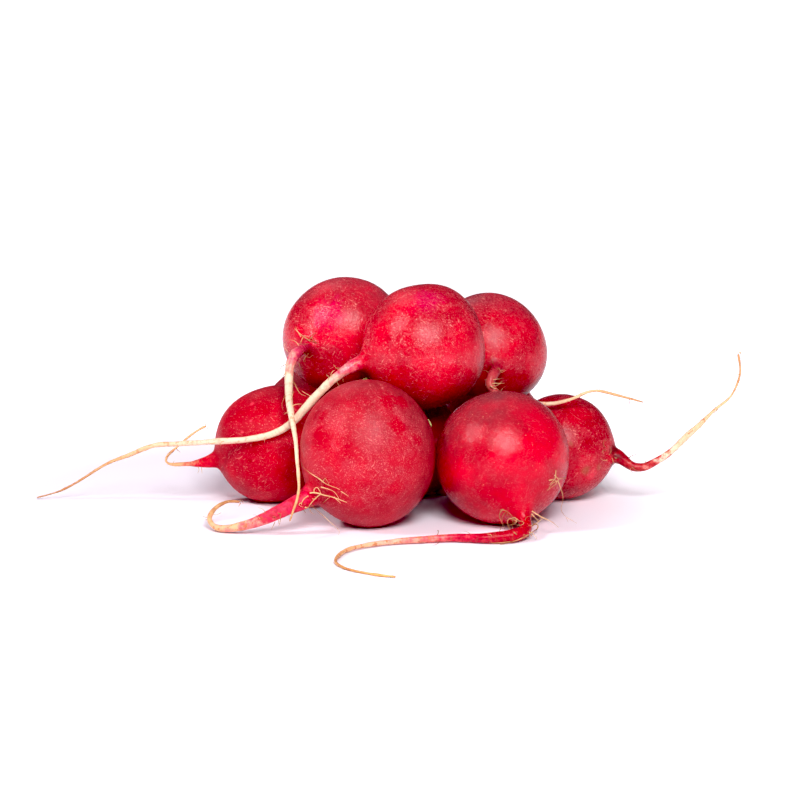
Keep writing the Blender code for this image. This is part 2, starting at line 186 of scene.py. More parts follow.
class Recipe:
    """A material's nodes, added one after another."""

    def __init__(self, name: str) -> None:
        """Starts a material.

        Args:
            name: the material's name.
        """
        self.material = bpy.data.materials.new(name)
        self.material.use_nodes = True
        self.tree = self.material.node_tree
        self.shader = self.tree.nodes["Principled BSDF"]

    def add(
        self,
        kind: str,
        settings: dict[str, Any] | None = None,
        values: dict[int | str, Any] | None = None,
        output: int | str = 0,
    ) -> Sock:
        """Adds any one node.

        Args:
            kind: the node's type, without ShaderNode before it.
            settings: its settings, such as a Math node's operation or a ramp's stops.
            values: the numbers, colours or links of its inputs.
            output: which of its outputs is wanted.

        Returns:
            That output.
        """
        node = self.tree.nodes.new("ShaderNode" + kind)
        for key, value in (settings or {}).items():
            if key == "stops":
                self.set_stops(node.color_ramp, value)
            else:
                setattr(node, key, value)
        for key, value in (values or {}).items():
            self.feed(node.inputs[key], value)
        return Sock(self, node.outputs[output])

    def feed(self, socket: bpy.types.NodeSocket, value: Any) -> None:
        """Links a value that comes from a node, or sets one that doesn't.

        Args:
            socket: the input.
            value: a Sock, a number, a point or a colour.
        """
        if isinstance(value, Sock):
            self.tree.links.new(value.socket, socket)
        elif isinstance(value, tuple) and len(value) == 3 and socket.type == "RGBA":
            socket.default_value = (*value, 1.0)
        else:
            socket.default_value = value

    @staticmethod
    def set_stops(ramp: bpy.types.ColorRamp, stops: list[tuple[float, Colour]]) -> None:
        """Gives a ramp its stops.

        Args:
            ramp: the new node's ramp, which has two stops.
            stops: each a place from 0 to 1 and a colour.
        """
        ramp.elements.remove(ramp.elements[1])
        ramp.elements[0].position = stops[0][0]
        for place, _ in stops[1:]:
            ramp.elements.new(place)
        for element, (_, colour) in zip(ramp.elements, stops):
            element.color = (*colour, 1.0)

    def blend(self, share: Sock | float, a: Any, b: Any) -> Sock:
        """Mixes colour b into colour a by share."""
        settings = {"data_type": "RGBA", "blend_type": "MIX", "clamp_factor": True}
        return self.add("Mix", settings, {0: share, 6: a, 7: b}, output=2)

    def noise(self, where: Sock, scale: float, detail: float, **more: float) -> Sock:
        """A noise texture's value at a place."""
        values = {"Vector": where, "Scale": scale, "Detail": detail, **more}
        return self.add("TexNoise", {"noise_dimensions": "3D"}, values)

    def cells(self, where: Sock, scale: float) -> tuple[Sock, Sock]:
        """Splits space into cells with a point in each.

        Args:
            where: the place.
            scale: how small the cells are.

        Returns:
            How far away the cell's point lies, and a chance from 0 to 1 that each cell has for itself.
        """
        values = {"Vector": where, "Scale": scale, "Randomness": 1.0}
        near = self.add("TexVoronoi", {"feature": "F1"}, values, output="Distance")
        tint = self.add("TexVoronoi", {"feature": "F1"}, values, output="Color")
        return near, self.add("SeparateColor", None, {0: tint})

    def turned(
        self,
        where: Sock,
        place: Point = (0.0, 0.0, 0.0),
        turn: Point = (0.0, 0.0, 0.0),
        scale: Point = (1.0, 1.0, 1.0),
    ) -> Sock:
        """The texture moved, turned and then stretched by a Mapping node."""
        values = {"Vector": where, "Location": place, "Rotation": turn, "Scale": scale}
        return self.add("Mapping", {"vector_type": "TEXTURE"}, values)

    def moved(self, where: Sock, by: Sock, factor: float) -> Sock:
        """A place moved by another value, times the factor."""
        return self.add("VectorMath", {"operation": "MULTIPLY_ADD"}, {0: by, 1: (factor,) * 3, 2: where})

    def written(self, name: str) -> Sock:
        """The attribute of that name, as it was written on the mesh."""
        return self.add("Attribute", {"attribute_name": name}, output="Fac")

    def finish(self, **inputs: Any) -> bpy.types.Material:
        """Sets the shader's own inputs.

        Args:
            inputs: each by its name, with _ for a space.

        Returns:
            The finished material.
        """
        for key, value in inputs.items():
            self.feed(self.shader.inputs[key.replace("_", " ")], value)
        return self.material


# The colours that roots run out in
CRIMSON = seen(180, 6, 38)
MAGENTA = seen(214, 34, 74)
PINK = seen(232, 132, 124)
CREAM = seen(232, 200, 172)
TAN = seen(222, 172, 124)
BROWN = seen(176, 122, 78)

# The colours of single marks on the bulbs
BLUSH = seen(214, 8, 98)
FRESH = seen(172, 1, 26)
WORN = seen(224, 60, 76)
SCAR = seen(140, 84, 52)

# How the colour of most roots runs out: millimetres beyond the neck, and the colour there
GENERAL_FADE: Fade = (
    (0.0, CRIMSON),
    (6.0, MAGENTA),
    (12.0, PINK),
    (18.0, CREAM),
    (50.0, TAN),
    (90.0, BROWN),
)


class Gloss(Enum):
    """How sharp the light's reflection is on a skin."""

    WAXY = 0.22
    SATIN = 0.26
    DUSTY = 0.40


@dataclass(frozen=True)
class Patch:
    """One mark of its own on a skin: its middle on the bulb, its size in millimetres and its colour."""

    place: Point
    size: float
    colour: Colour
    share: float = 0.7

    def painted(self, recipe: Recipe, place: Sock, wobble: Sock, skin: Sock) -> Sock:
        """Lays the mark on the skin's colour.

        Args:
            recipe: the skin's recipe.
            place: the place on the heap.
            wobble: what makes the mark's edge ragged.
            skin: the colour below.

        Returns:
            The colour with the mark on it.
        """
        spot = tuple(placed(self.place))
        away = recipe.add("VectorMath", {"operation": "DISTANCE"}, {0: place, 1: spot}, output="Value")
        edge = (away / (self.size * MM) + wobble).between(0.3, 1.1)
        return recipe.blend((1.0 - edge) * self.share, skin, self.colour)


@dataclass(frozen=True)
class Ground:
    """What all layers of one skin are drawn from.

    place is the place on the heap, and own the same moved for each radish, so that no
    two have the same spots. along is the way down the root in millimetres from where
    it leaves the neck, and below nought on the bulb. The rest are noises, from the
    broadest to the finest, and the rings round the root.
    """

    place: Sock
    own: Sock
    along: Sock
    broad: Sock
    patchy: Sock
    fine: Sock
    grain: Sock
    rings: Sock


@dataclass(frozen=True)
class Relief:
    """How high each noise stands on the skin, and how much of it the light shows."""

    grain: float = 0.7
    fine: float = 1.4
    patchy: float = 3.2
    scratch: float = 0.2
    rings: float = 2.0
    strength: float = 0.17
    distance: float = 0.0005


@dataclass(frozen=True)
class SkinFinish:
    """A radish's own skin, from the red of its bulb to the pale tip of its root.

    The bulb is bright and deep red in turns. Towards its crown, over a stretch given in
    millimetres from the neck, a duller, darker red is laid on it: painted shade and a
    painted hazy reflection that stand in for the darker tops. Dust with flecks, marks of
    its own, scratches and dots lie on it, and a collar round the stalks. fade lists
    how far beyond the neck, in millimetres, the root has each colour.
    """

    gloss: Gloss = Gloss.SATIN
    bright: Colour = seen(197, 3, 36)
    deep: Colour = seen(168, 2, 28)
    # Painted shade and a painted hazy reflection towards the crown: its colour, its share and its stretch
    crown_shade: Colour = seen(126, 44, 50)
    crown_shading: float = 0.62
    crown_shade_span: tuple[float, float] = (-50.0, -22.0)
    dust: Colour = seen(182, 62, 74)
    dustiness: float = 0.30
    fleck: Colour = seen(226, 116, 110)
    scratch: Colour = seen(234, 142, 130)
    scratches: float = 0.55
    dot: Colour = seen(236, 158, 130)
    speckled: float = 0.55
    fade: Fade = GENERAL_FADE
    marks: Colour = seen(196, 120, 76)
    knots: Colour = seen(148, 12, 42)
    mottled: float = 0.35
    crease: Colour = seen(92, 26, 26)
    joint: float = 0.2
    patches: tuple[Patch, ...] = ()
    shine: float = 0.24
    rings: Colour = seen(166, 88, 60)
    collar: Colour = seen(170, 140, 84)
    collared: float = 0.85
    relief: Relief = Relief()
    seed: int = 0

    def material(self, name: str) -> bpy.types.Material:
        """Builds the skin.

        Args:
            name: the material's name.

        Returns:
            The material.
        """
        recipe = Recipe(name)
        ground = self.ground(recipe)
        scratch = self.scratched(recipe, ground)
        dusty = self.dusted(recipe, ground)
        skin = self.bulb_colour(recipe, ground, dusty, scratch)
        skin = self.collared_skin(recipe, ground, skin)
        colour = self.joined(recipe, ground, skin, self.root_colour(recipe, ground))
        rough = self.gloss.value + (ground.fine - 0.5) * 0.5 + (ground.grain - 0.5) * 0.3
        return recipe.finish(
            Base_Color=colour,
            Roughness=rough + dusty * self.dustiness * 0.25,
            Normal=self.raised(recipe, ground, scratch),
            Specular_IOR_Level=self.shine,
        )

    def ground(self, recipe: Recipe) -> Ground:
        """Adds the noises and measures that every layer shares.

        Args:
            recipe: the skin's recipe.

        Returns:
            All of them.
        """
        place = recipe.add("TexCoord", output="Object")
        own = recipe.turned(place, place=(0.37 * self.seed, 0.11 * self.seed, 0.0))
        along = recipe.written("along")
        return Ground(
            place=place,
            own=own,
            along=along,
            broad=recipe.noise(own, scale=70.0, detail=3.0, Roughness=0.55),
            patchy=recipe.noise(own, scale=190.0, detail=6.0, Roughness=0.68, Distortion=0.4),
            fine=recipe.noise(own, scale=1100.0, detail=4.0, Roughness=0.7),
            grain=recipe.noise(own, scale=3000.0, detail=3.0, Roughness=0.75),
            rings=self.ringed(recipe, along, own),
        )

    @staticmethod
    def ringed(recipe: Recipe, along: Sock, own: Sock) -> Sock:
        """Draws thin broken rings round the root, where side roots and folds crossed it.

        Args:
            recipe: the skin's recipe.
            along: the way down the root.
            own: the radish's own place.

        Returns:
            One on a ring and nought beside it.
        """
        step = recipe.add("CombineXYZ", None, {0: along * 1.5})
        place = recipe.moved(step, own, 240.0)
        return recipe.noise(place, scale=1.0, detail=2.0).between(0.56, 0.66)

    @staticmethod
    def scratched(recipe: Recipe, ground: Ground) -> Sock:
        """Draws short fine scratches that lie in four directions, slightly bent.

        Args:
            recipe: the skin's recipe.
            ground: the skin's noises and measures.

        Returns:
            One on a scratch and nought beside it.
        """
        values = {"Vector": ground.own, "Scale": 180.0, "Detail": 2.0}
        bent = recipe.add("TexNoise", None, values, output="Color")
        moved = recipe.moved(ground.own, bent, 0.003)
        total = None
        for turn in ((0.3, 0.5, 0.0), (1.2, -0.4, 0.8), (-0.7, 0.9, 2.1), (1.5, 1.3, 0.4)):
            lying = recipe.turned(moved, turn=turn, scale=(1.0, 1.0, 16.0))
            near, chance = recipe.cells(lying, scale=2000.0)
            line = (1.0 - near.between(0.12, 0.30)) * chance.between(0.60, 0.68)
            total = line if total is None else total.sum("MAXIMUM", line)
        return total

    @staticmethod
    def dotted(recipe: Recipe, ground: Ground) -> Sock:
        """Draws small pale dots, each in a cell of its own, and leaves most cells empty.

        Args:
            recipe: the skin's recipe.
            ground: the skin's noises and measures.

        Returns:
            One on a dot and nought beside it.
        """
        near, chance = recipe.cells(ground.own, scale=960.0)
        return (1.0 - near.between(0.06, 0.17)) * chance.between(0.72, 0.84)

    @staticmethod
    def dusted(recipe: Recipe, ground: Ground) -> Sock:
        """Draws the dust, thin where the skin was rubbed clear in spots.

        Args:
            recipe: the skin's recipe.
            ground: the skin's noises and measures.

        Returns:
            How much dust lies there, from nought to one.
        """
        spots = recipe.noise(ground.own, scale=150.0, detail=3.0, Roughness=0.5, Distortion=0.8)
        clear = spots.between(0.40, 0.49) * 0.82 + 0.18
        mixed = ground.patchy * 0.56 + ground.fine * 0.32 + ground.grain * 0.12
        return mixed.between(0.42, 0.59) * clear

    def bulb_colour(self, recipe: Recipe, ground: Ground, dusty: Sock, scratch: Sock) -> Sock:
        """Lays the bulb's colours on each other.

        Args:
            recipe: the skin's recipe.
            ground: the skin's noises and measures.
            dusty: where the dust lies.
            scratch: where the scratches are.

        Returns:
            The bulb's colour.
        """
        skin = recipe.blend(ground.broad.between(0.38, 0.60), self.deep, self.bright)
        # Painted shade and a painted hazy reflection: a duller, darker red towards the crown
        ragged = ground.along + (ground.broad - 0.5) * 24.0 + (ground.patchy - 0.5) * 16.0
        skin = recipe.blend((1.0 - ragged.between(*self.crown_shade_span)) * self.crown_shading, skin, self.crown_shade)
        skin = recipe.blend(dusty * self.dustiness, skin, self.dust)
        more_in_dust = dusty * 0.6 + 0.4
        flecks = ground.grain.between(0.50, 0.66) * more_in_dust * self.dustiness * 0.7
        skin = recipe.blend(flecks, skin, self.fleck)
        wobble = (ground.patchy - 0.5) * 2.6 + (ground.fine - 0.5) * 1.2
        for patch in self.patches:
            skin = patch.painted(recipe, ground.place, wobble, skin)
        skin = recipe.blend(scratch * more_in_dust * self.scratches, skin, self.scratch)
        return recipe.blend(self.dotted(recipe, ground) * self.speckled, skin, self.dot)

    def collared_skin(self, recipe: Recipe, ground: Ground, skin: Sock) -> Sock:
        """Lays the ragged brown collar round the leaf stalks on the bulb's colour.

        Args:
            recipe: the skin's recipe.
            ground: the skin's noises and measures.
            skin: the bulb's colour.

        Returns:
            The colour with the collar.
        """
        from_crown = recipe.written("from_crown")
        collar = 1.0 - (from_crown + (ground.fine - 0.5) * 5.0).between(3.6, 6.4)
        mixed = recipe.blend(ground.fine.between(0.42, 0.58), self.collar, self.rings)
        return recipe.blend(collar * self.collared, skin, mixed)

    def root_colour(self, recipe: Recipe, ground: Ground) -> Sock:
        """Runs the root's colours out from the neck to the tip, with ragged edges.

        Args:
            recipe: the skin's recipe.
            ground: the skin's noises and measures.

        Returns:
            The root's colour.
        """
        reach = self.fade[-1][0]
        stops = [(place / reach, colour) for place, colour in self.fade]
        blotch = recipe.noise(ground.own, scale=420.0, detail=3.0)
        ragged = ground.along + (ground.fine - 0.5) * 12.0 + (blotch - 0.5) * 42.0 * self.mottled
        ramp = recipe.add("ValToRGB", {"stops": stops}, {0: ragged / reach})
        outer = (ground.along / reach).between(0.16, 0.40)
        marks = (ground.grain * 0.4 + ground.fine * 0.6).between(0.54, 0.66) * 0.45
        colour = recipe.blend(marks, ramp, self.marks)
        knotty = recipe.noise(ground.own, scale=640.0, detail=2.0).between(0.58, 0.66)
        knots = knotty * (self.mottled * 0.7 + outer * 0.3)
        colour = recipe.blend(knots, colour, recipe.blend(outer, self.knots, self.marks))
        return recipe.blend(ground.rings * 0.2, colour, self.rings)

    def joined(self, recipe: Recipe, ground: Ground, skin: Sock, root: Sock) -> Sock:
        """Leads the bulb's colour over into the root's, with a dark crease between them.

        Args:
            recipe: the skin's recipe.
            ground: the skin's noises and measures.
            skin: the bulb's colour.
            root: the root's colour.

        Returns:
            The whole skin's colour.
        """
        shift = (ground.patchy - 0.5) * 5.0
        colour = recipe.blend((ground.along + shift).between(-3.0, 1.5), skin, root)
        before = (ground.along + shift * 0.4).between(-4.5, -1.5)
        beyond = (ground.along - shift * 0.4).between(-0.5, 2.0)
        crease = before * (1.0 - beyond) * ground.patchy.between(0.44, 0.54) * self.joint
        return recipe.blend(crease, colour, self.crease)

    def raised(self, recipe: Recipe, ground: Ground, scratch: Sock) -> Sock:
        """Gives the skin its fine relief.

        Args:
            recipe: the skin's recipe.
            ground: the skin's noises and measures.
            scratch: where the scratches are.

        Returns:
            The direction that the surface faces.
        """
        relief = self.relief
        height = ground.grain * relief.grain + ground.fine * relief.fine + ground.patchy * relief.patchy
        height = height - scratch * relief.scratch
        height = height + ground.rings * ground.along.between(-4.0, 2.0) * relief.rings
        values = {"Strength": relief.strength, "Distance": relief.distance, "Height": height}
        return recipe.add("Bump", None, values)


@dataclass(frozen=True)
class HairFinish:
    """The fine side roots: dry, thin and straw-coloured."""

    pale: Colour = seen(228, 188, 134)
    brown: Colour = seen(148, 90, 46)
    roughness: float = 0.7

    def material(self) -> bpy.types.Material:
        """Builds the finish.

        Returns:
            The material.
        """
        recipe = Recipe("fine_roots")
        place = recipe.add("TexCoord", output="Object")
        mixed = recipe.noise(place, scale=160.0, detail=3.0)
        colour = recipe.blend(mixed.between(0.36, 0.64), self.brown, self.pale)
        return recipe.finish(Base_Color=colour, Roughness=self.roughness)


@dataclass(frozen=True)
class StalkFinish:
    """The cut leaf stalks: pink where they leave the crown, green above and pale at the cut."""

    pink: Colour = seen(186, 66, 78)
    green: Colour = seen(104, 128, 44)
    cut: Colour = seen(188, 196, 124)
    dry: Colour = seen(126, 92, 52)
    roughness: float = 0.6
    relief: float = 0.4

    def material(self) -> bpy.types.Material:
        """Builds the finish.

        Returns:
            The material.
        """
        recipe = Recipe("leaf_stalks")
        place = recipe.add("TexCoord", output="Object")
        patches = recipe.noise(place, scale=420.0, detail=4.0)
        up = recipe.written("up")
        places = (0.0, 0.30, 0.55, 0.90, 0.97)
        stops = list(zip(places, (self.pink, self.pink, self.green, self.green, self.cut)))
        colour = recipe.add("ValToRGB", {"stops": stops}, {0: up + (patches - 0.5) * 0.3})
        colour = recipe.blend(patches.between(0.48, 0.66) * 0.8, colour, self.dry)
        fibres = recipe.noise(place, scale=2600.0, detail=3.0)
        bump = recipe.add("Bump", None, {"Strength": self.relief, "Distance": 0.0004, "Height": fibres})
        return recipe.finish(Base_Color=colour, Roughness=self.roughness, Normal=bump)


@dataclass(frozen=True)
class Sight:
    """The camera, where the photograph was taken from."""

    reach: float = 850.0
    elevation: float = math.radians(11.0)
    pixels: float = 2847.6
    target: Point = (0.0, 0.0, 38.2)
    frame_pixels: float = 800.0
    sensor: float = 36.0
    near: float = 0.05
    far: float = 60.0

    @property
    def forward(self) -> Vector:
        """The way that the camera looks."""
        return Vector((0.0, math.cos(self.elevation), -math.sin(self.elevation)))

    @property
    def up(self) -> Vector:
        """The picture's upward direction."""
        return Vector((0.0, math.sin(self.elevation), math.cos(self.elevation)))

    @property
    def eye(self) -> Vector:
        """Where the camera stands, in metres."""
        return placed(Vector(self.target) - self.forward * self.reach)

    def ray(self, across: float, down: float) -> Vector:
        """The way from the eye through a point of the picture.

        Args:
            across: how far from the picture's left edge, in pixels.
            down: how far from its top edge.

        Returns:
            The direction.
        """
        half = self.frame_pixels / 2
        right = Vector((1.0, 0.0, 0.0))
        return (
            self.forward * self.pixels + right * (across - half) - self.up * (down - half)
        ).normalized()

    def make(self) -> None:
        """Adds the camera and makes it the scene's own."""
        bpy.ops.object.camera_add(location=self.eye, rotation=(math.pi / 2 - self.elevation, 0.0, 0.0))
        camera = bpy.context.object
        camera.name = "camera"
        camera.data.sensor_width = self.sensor
        camera.data.lens = self.sensor * self.pixels / self.frame_pixels
        camera.data.clip_start = self.near
        camera.data.clip_end = self.far
        bpy.context.scene.camera = camera


def deselected() -> None:
    """Leaves edit mode and selects nothing."""
    if bpy.context.object and bpy.context.object.mode != "OBJECT":
        bpy.ops.object.mode_set(mode="OBJECT")
    bpy.ops.object.select_all(action="DESELECT")


def turn_selected(turn: Quaternion, centre: Vector) -> None:
    """Turns what is selected in edit mode.

    Args:
        turn: the turn.
        centre: the point that it goes round, in metres.
    """
    axis, angle = turn.to_axis_angle()
    if abs(angle) < 1e-6:
        return
    side = axis.orthogonal().normalized()
    bpy.ops.transform.rotate(
        value=angle,
        orient_axis="Z",
        orient_type="GLOBAL",
        orient_matrix=Matrix((side, axis.cross(side), axis)).transposed(),
        orient_matrix_type="GLOBAL",
        constraint_axis=(False, False, True),
        center_override=centre,
    )


def apply(body: bpy.types.Object, kind: str, **settings: Any) -> None:
    """Adds one modifier and applies it.

    Args:
        body: the object.
        kind: the modifier's type.
        settings: its settings.
    """
    deselected()
    body.select_set(True)
    bpy.context.view_layer.objects.active = body
    bpy.ops.object.modifier_add(type=kind)
    modifier = body.modifiers[-1]
    for key, value in settings.items():
        setattr(modifier, key, value)
    bpy.ops.object.modifier_apply(modifier=modifier.name)


def dressed(piece: bpy.types.Object, finish: bpy.types.Material) -> None:
    """Gives a piece its one material."""
    piece.data.materials.clear()
    piece.data.materials.append(finish)


def write(piece: bpy.types.Object, name: str, values: list[float]) -> None:
    """Writes one number for each point of a piece, under a name that its material reads."""
    held = piece.data.attributes.new(name, "FLOAT", "POINT")
    held.data.foreach_set("value", values)


def through(knots: list[tuple[float, ...]], s: float) -> list[float]:
    """Follows the smooth curve through all knots.

    Args:
        knots: the points that it goes through.
        s: how far along, counted in knots.

    Returns:
        The point there.
    """
    last = len(knots) - 1
    i = min(int(s), last - 1)
    s -= i
    a, b, c, d = (knots[min(max(i + k, 0), last)] for k in (-1, 0, 1, 2))
    return [
        0.5 * (2 * q + (r - p) * s + (2 * p - 5 * q + 4 * r - w) * s**2 + (3 * q - p - 3 * r + w) * s**3)
        for p, q, r, w in zip(a, b, c, d)
    ]


def bezier(a: tuple, b: tuple, c: tuple, d: tuple, s: float) -> tuple[float, ...]:
    """Follows the cubic from a to d.

    Args:
        a: its start.
        b: the start's handle.
        c: the end's handle.
        d: its end.
        s: how far along, from 0 to 1.

    Returns:
        The point there.
    """
    r = 1.0 - s
    return tuple(
        r**3 * p + 3 * r * r * s * q + 3 * r * s * s * t + s**3 * w for p, q, t, w in zip(a, b, c, d)
    )


@dataclass
class Ring:
    """One ring of a radish: its middle, the way it faces, its radius and its place along the root."""

    middle: Vector
    facing: Vector
    radius: float
    along: float


@dataclass(frozen=True)
class Hair:
    """One fine root that the photograph shows, with its bends as places of the picture.

    Each place is how far across and down it lies, and how far in millimetres it stands
    off towards the camera from what lies behind it. stand_off and thinned scale that
    distance and the thickness, and jump is how far back in millimetres the next point
    may lie at most.
    """

    points: tuple[Point, ...]
    thick: float = 0.28
    stand_off: float = 1.5
    thinned: float = 0.8
    jump: float = 0.8

    def drawn(self, body: bpy.types.Object, sight: Sight) -> tuple[list[Vector], float]:
        """Places the hair on what lies behind it, or level with its last point.

        Args:
            body: the radish that it grows from.
            sight: the camera, through which it was placed.

        Returns:
            Its points in metres and its thickness in millimetres.
        """
        points = []
        reach = None
        lowest = 0.5 * self.thick * MM
        for across, down, off in self.points:
            ray = sight.ray(across, down)
            hit, place, _, _ = body.ray_cast(sight.eye, ray)
            if hit:
                found = (place - sight.eye).length
                reach = found if reach is None else min(found, reach + self.jump * MM)
            elif reach is None:
                _, place, _, _ = body.closest_point_on_mesh(sight.eye + ray * sight.reach * MM)
                reach = (place - sight.eye).length
            reached = reach - self.stand_off * off * MM
            if sight.eye.z + ray.z * reached < lowest:
                reached = (lowest - sight.eye.z) / ray.z
            points.append(sight.eye + ray * reached)
        return points, self.thinned * self.thick


@dataclass(frozen=True)
class Tuft:
    """Fine roots that grow anyhow round a stretch of the root, from low to high along it.

    A hair starts inside the root at a share of its radius, leans along it either way,
    curls and droops a little at each step, and keeps clear of the bulb.
    """

    low: float
    high: float
    count: int
    length: float
    curl: float = 0.5
    thick: float = 0.24
    steps: int = 7
    start: float = 0.9
    lean: float = 0.7
    droop: float = 0.06
    clearance: float = 0.3

    def grown(self, radish: "Radish", draw: random.Random) -> tuple[list[Vector], float]:
        """Grows one hair outwards from the root.

        Args:
            radish: the radish that it grows on.
            draw: the radish's own random numbers.

        Returns:
            Its points in metres and its thickness in millimetres.
        """
        wanted = draw.uniform(self.low, self.high)
        ring = min(radish.rings, key=lambda each: abs(each.along - wanted))
        side = ring.facing.orthogonal().normalized()
        side.rotate(Quaternion(ring.facing, draw.uniform(0.0, 2 * math.pi)))
        point = ring.middle + side * ring.radius * self.start
        heading = (side + ring.facing * draw.uniform(-self.lean, self.lean)).normalized()
        spin = Vector([draw.gauss(0.0, 1.0) for _ in range(3)]).normalized()
        step = self.length * draw.uniform(0.5, 1.3) / self.steps
        clear = radish.across / 2 + self.clearance
        centre = Vector(radish.centre)
        points = [self.kept(point)]
        for _ in range(self.steps):
            point = point + heading * step
            from_centre = point - centre
            if from_centre.length < clear:
                point = centre + from_centre.normalized() * clear
            points.append(self.kept(point))
            heading.rotate(Quaternion(spin, draw.uniform(0.1, 1.0) * self.curl))
            heading = (heading - UP * self.droop).normalized()
        return points, self.thick * draw.uniform(0.7, 1.2)

    @staticmethod
    def kept(point: Vector, edge: float = 0.2) -> Vector:
        """Holds a point above the surface and inside the heap's box.

        Args:
            point: the point in millimetres.
            edge: how far inside, in millimetres.

        Returns:
            The point in metres.
        """
        spot = placed(point)
        for axis, (low, high) in enumerate(zip(*CAD_BOX)):
            spot[axis] = min(max(spot[axis], low + edge * MM), high - edge * MM)
        return spot


@dataclass(frozen=True)
class Stalks:
    """The stubs of the cut leaves, set in a spiral on the crown and leaning outwards.

    Lengths are in millimetres and angles in radians. sunk is how deep each stands in
    the bulb, spread how far out the second one stands, turn the angle from one to the
    next and upright the middle one's lean. wall and hollow are the cut end's rim and
    the depth inside it.
    """

    count: int = 5
    length: float = 3.0
    thick: float = 2.9
    sides: int = 12
    sunk: float = 2.2
    spread: float = 1.65
    turn: float = math.radians(137.5)
    upright: float = 0.10
    tapered: float = 0.84
    wall: float = 0.28
    hollow: float = 0.5
    rounding: float = 0.12

    def make(self, radish: "Radish", finish: bpy.types.Material) -> bpy.types.Object:
        """Adds all stalks of a radish as one piece.

        Args:
            radish: the radish that they stand on.
            finish: their material.

        Returns:
            The piece.
        """
        draw = random.Random(radish.name)
        turned = UP.rotation_difference(radish.upward)
        base = placed(radish.centre)
        made = []
        for k in range(self.count):
            angle = k * self.turn + draw.uniform(-0.3, 0.3)
            out = self.spread * math.sqrt(k)
            lean = self.upright + 0.10 * out + draw.uniform(-0.05, 0.05)
            length = self.sunk + self.length * draw.uniform(0.75, 1.15)
            thick = self.thick * draw.uniform(0.85, 1.15)
            height = radish.crown_reach - CROWN_DIMPLE - self.sunk + length / 2
            place = Vector((out * math.cos(angle), out * math.sin(angle), height)) * MM
            across = math.sin(lean)
            tip = Vector((across * math.cos(angle), across * math.sin(angle), math.cos(lean)))
            tilt = UP.rotation_difference(tip)
            made.append(self.one(base + turned @ place, turned @ tilt, length, thick))
        deselected()
        for stalk in made:
            stalk.select_set(True)
        bpy.context.view_layer.objects.active = made[0]
        bpy.ops.object.join()
        stalks = bpy.context.object
        stalks.name = stalks.data.name = radish.name + "_stalks"
        dressed(stalks, finish)
        bpy.ops.object.shade_smooth()
        return stalks

    def one(self, place: Vector, turn: Quaternion, length: float, thick: float) -> bpy.types.Object:
        """Makes one stalk with a sunken cut end.

        Args:
            place: its middle, in metres.
            turn: how it is turned.
            length: its length in millimetres.
            thick: its thickness in millimetres.

        Returns:
            The stalk's own object.
        """
        deselected()
        bpy.ops.mesh.primitive_cone_add(
            vertices=self.sides,
            radius1=0.5 * thick * MM,
            radius2=0.5 * self.tapered * thick * MM,
            depth=length * MM,
            location=place,
            rotation=turn.to_euler(),
        )
        stalk = bpy.context.object
        bpy.ops.object.transform_apply(location=True, rotation=True, scale=True)
        axis = turn @ UP
        ups = [0.5 + (vertex.co - place).dot(axis) / (length * MM) for vertex in stalk.data.vertices]
        write(stalk, "up", ups)
        for face in stalk.data.polygons:
            face.select = face.normal.dot(axis) > 0.9
        for vertex in stalk.data.vertices:
            vertex.select = False
        bpy.ops.object.mode_set(mode="EDIT")
        bpy.ops.mesh.select_mode(type="FACE")
        bpy.ops.mesh.inset(thickness=self.wall * MM)
        bpy.ops.mesh.extrude_region_move(TRANSFORM_OT_translate={"value": axis * -self.hollow * MM})
        bpy.ops.object.mode_set(mode="OBJECT")
        apply(stalk, "BEVEL", width=self.rounding * MM, segments=2)
        return stalk


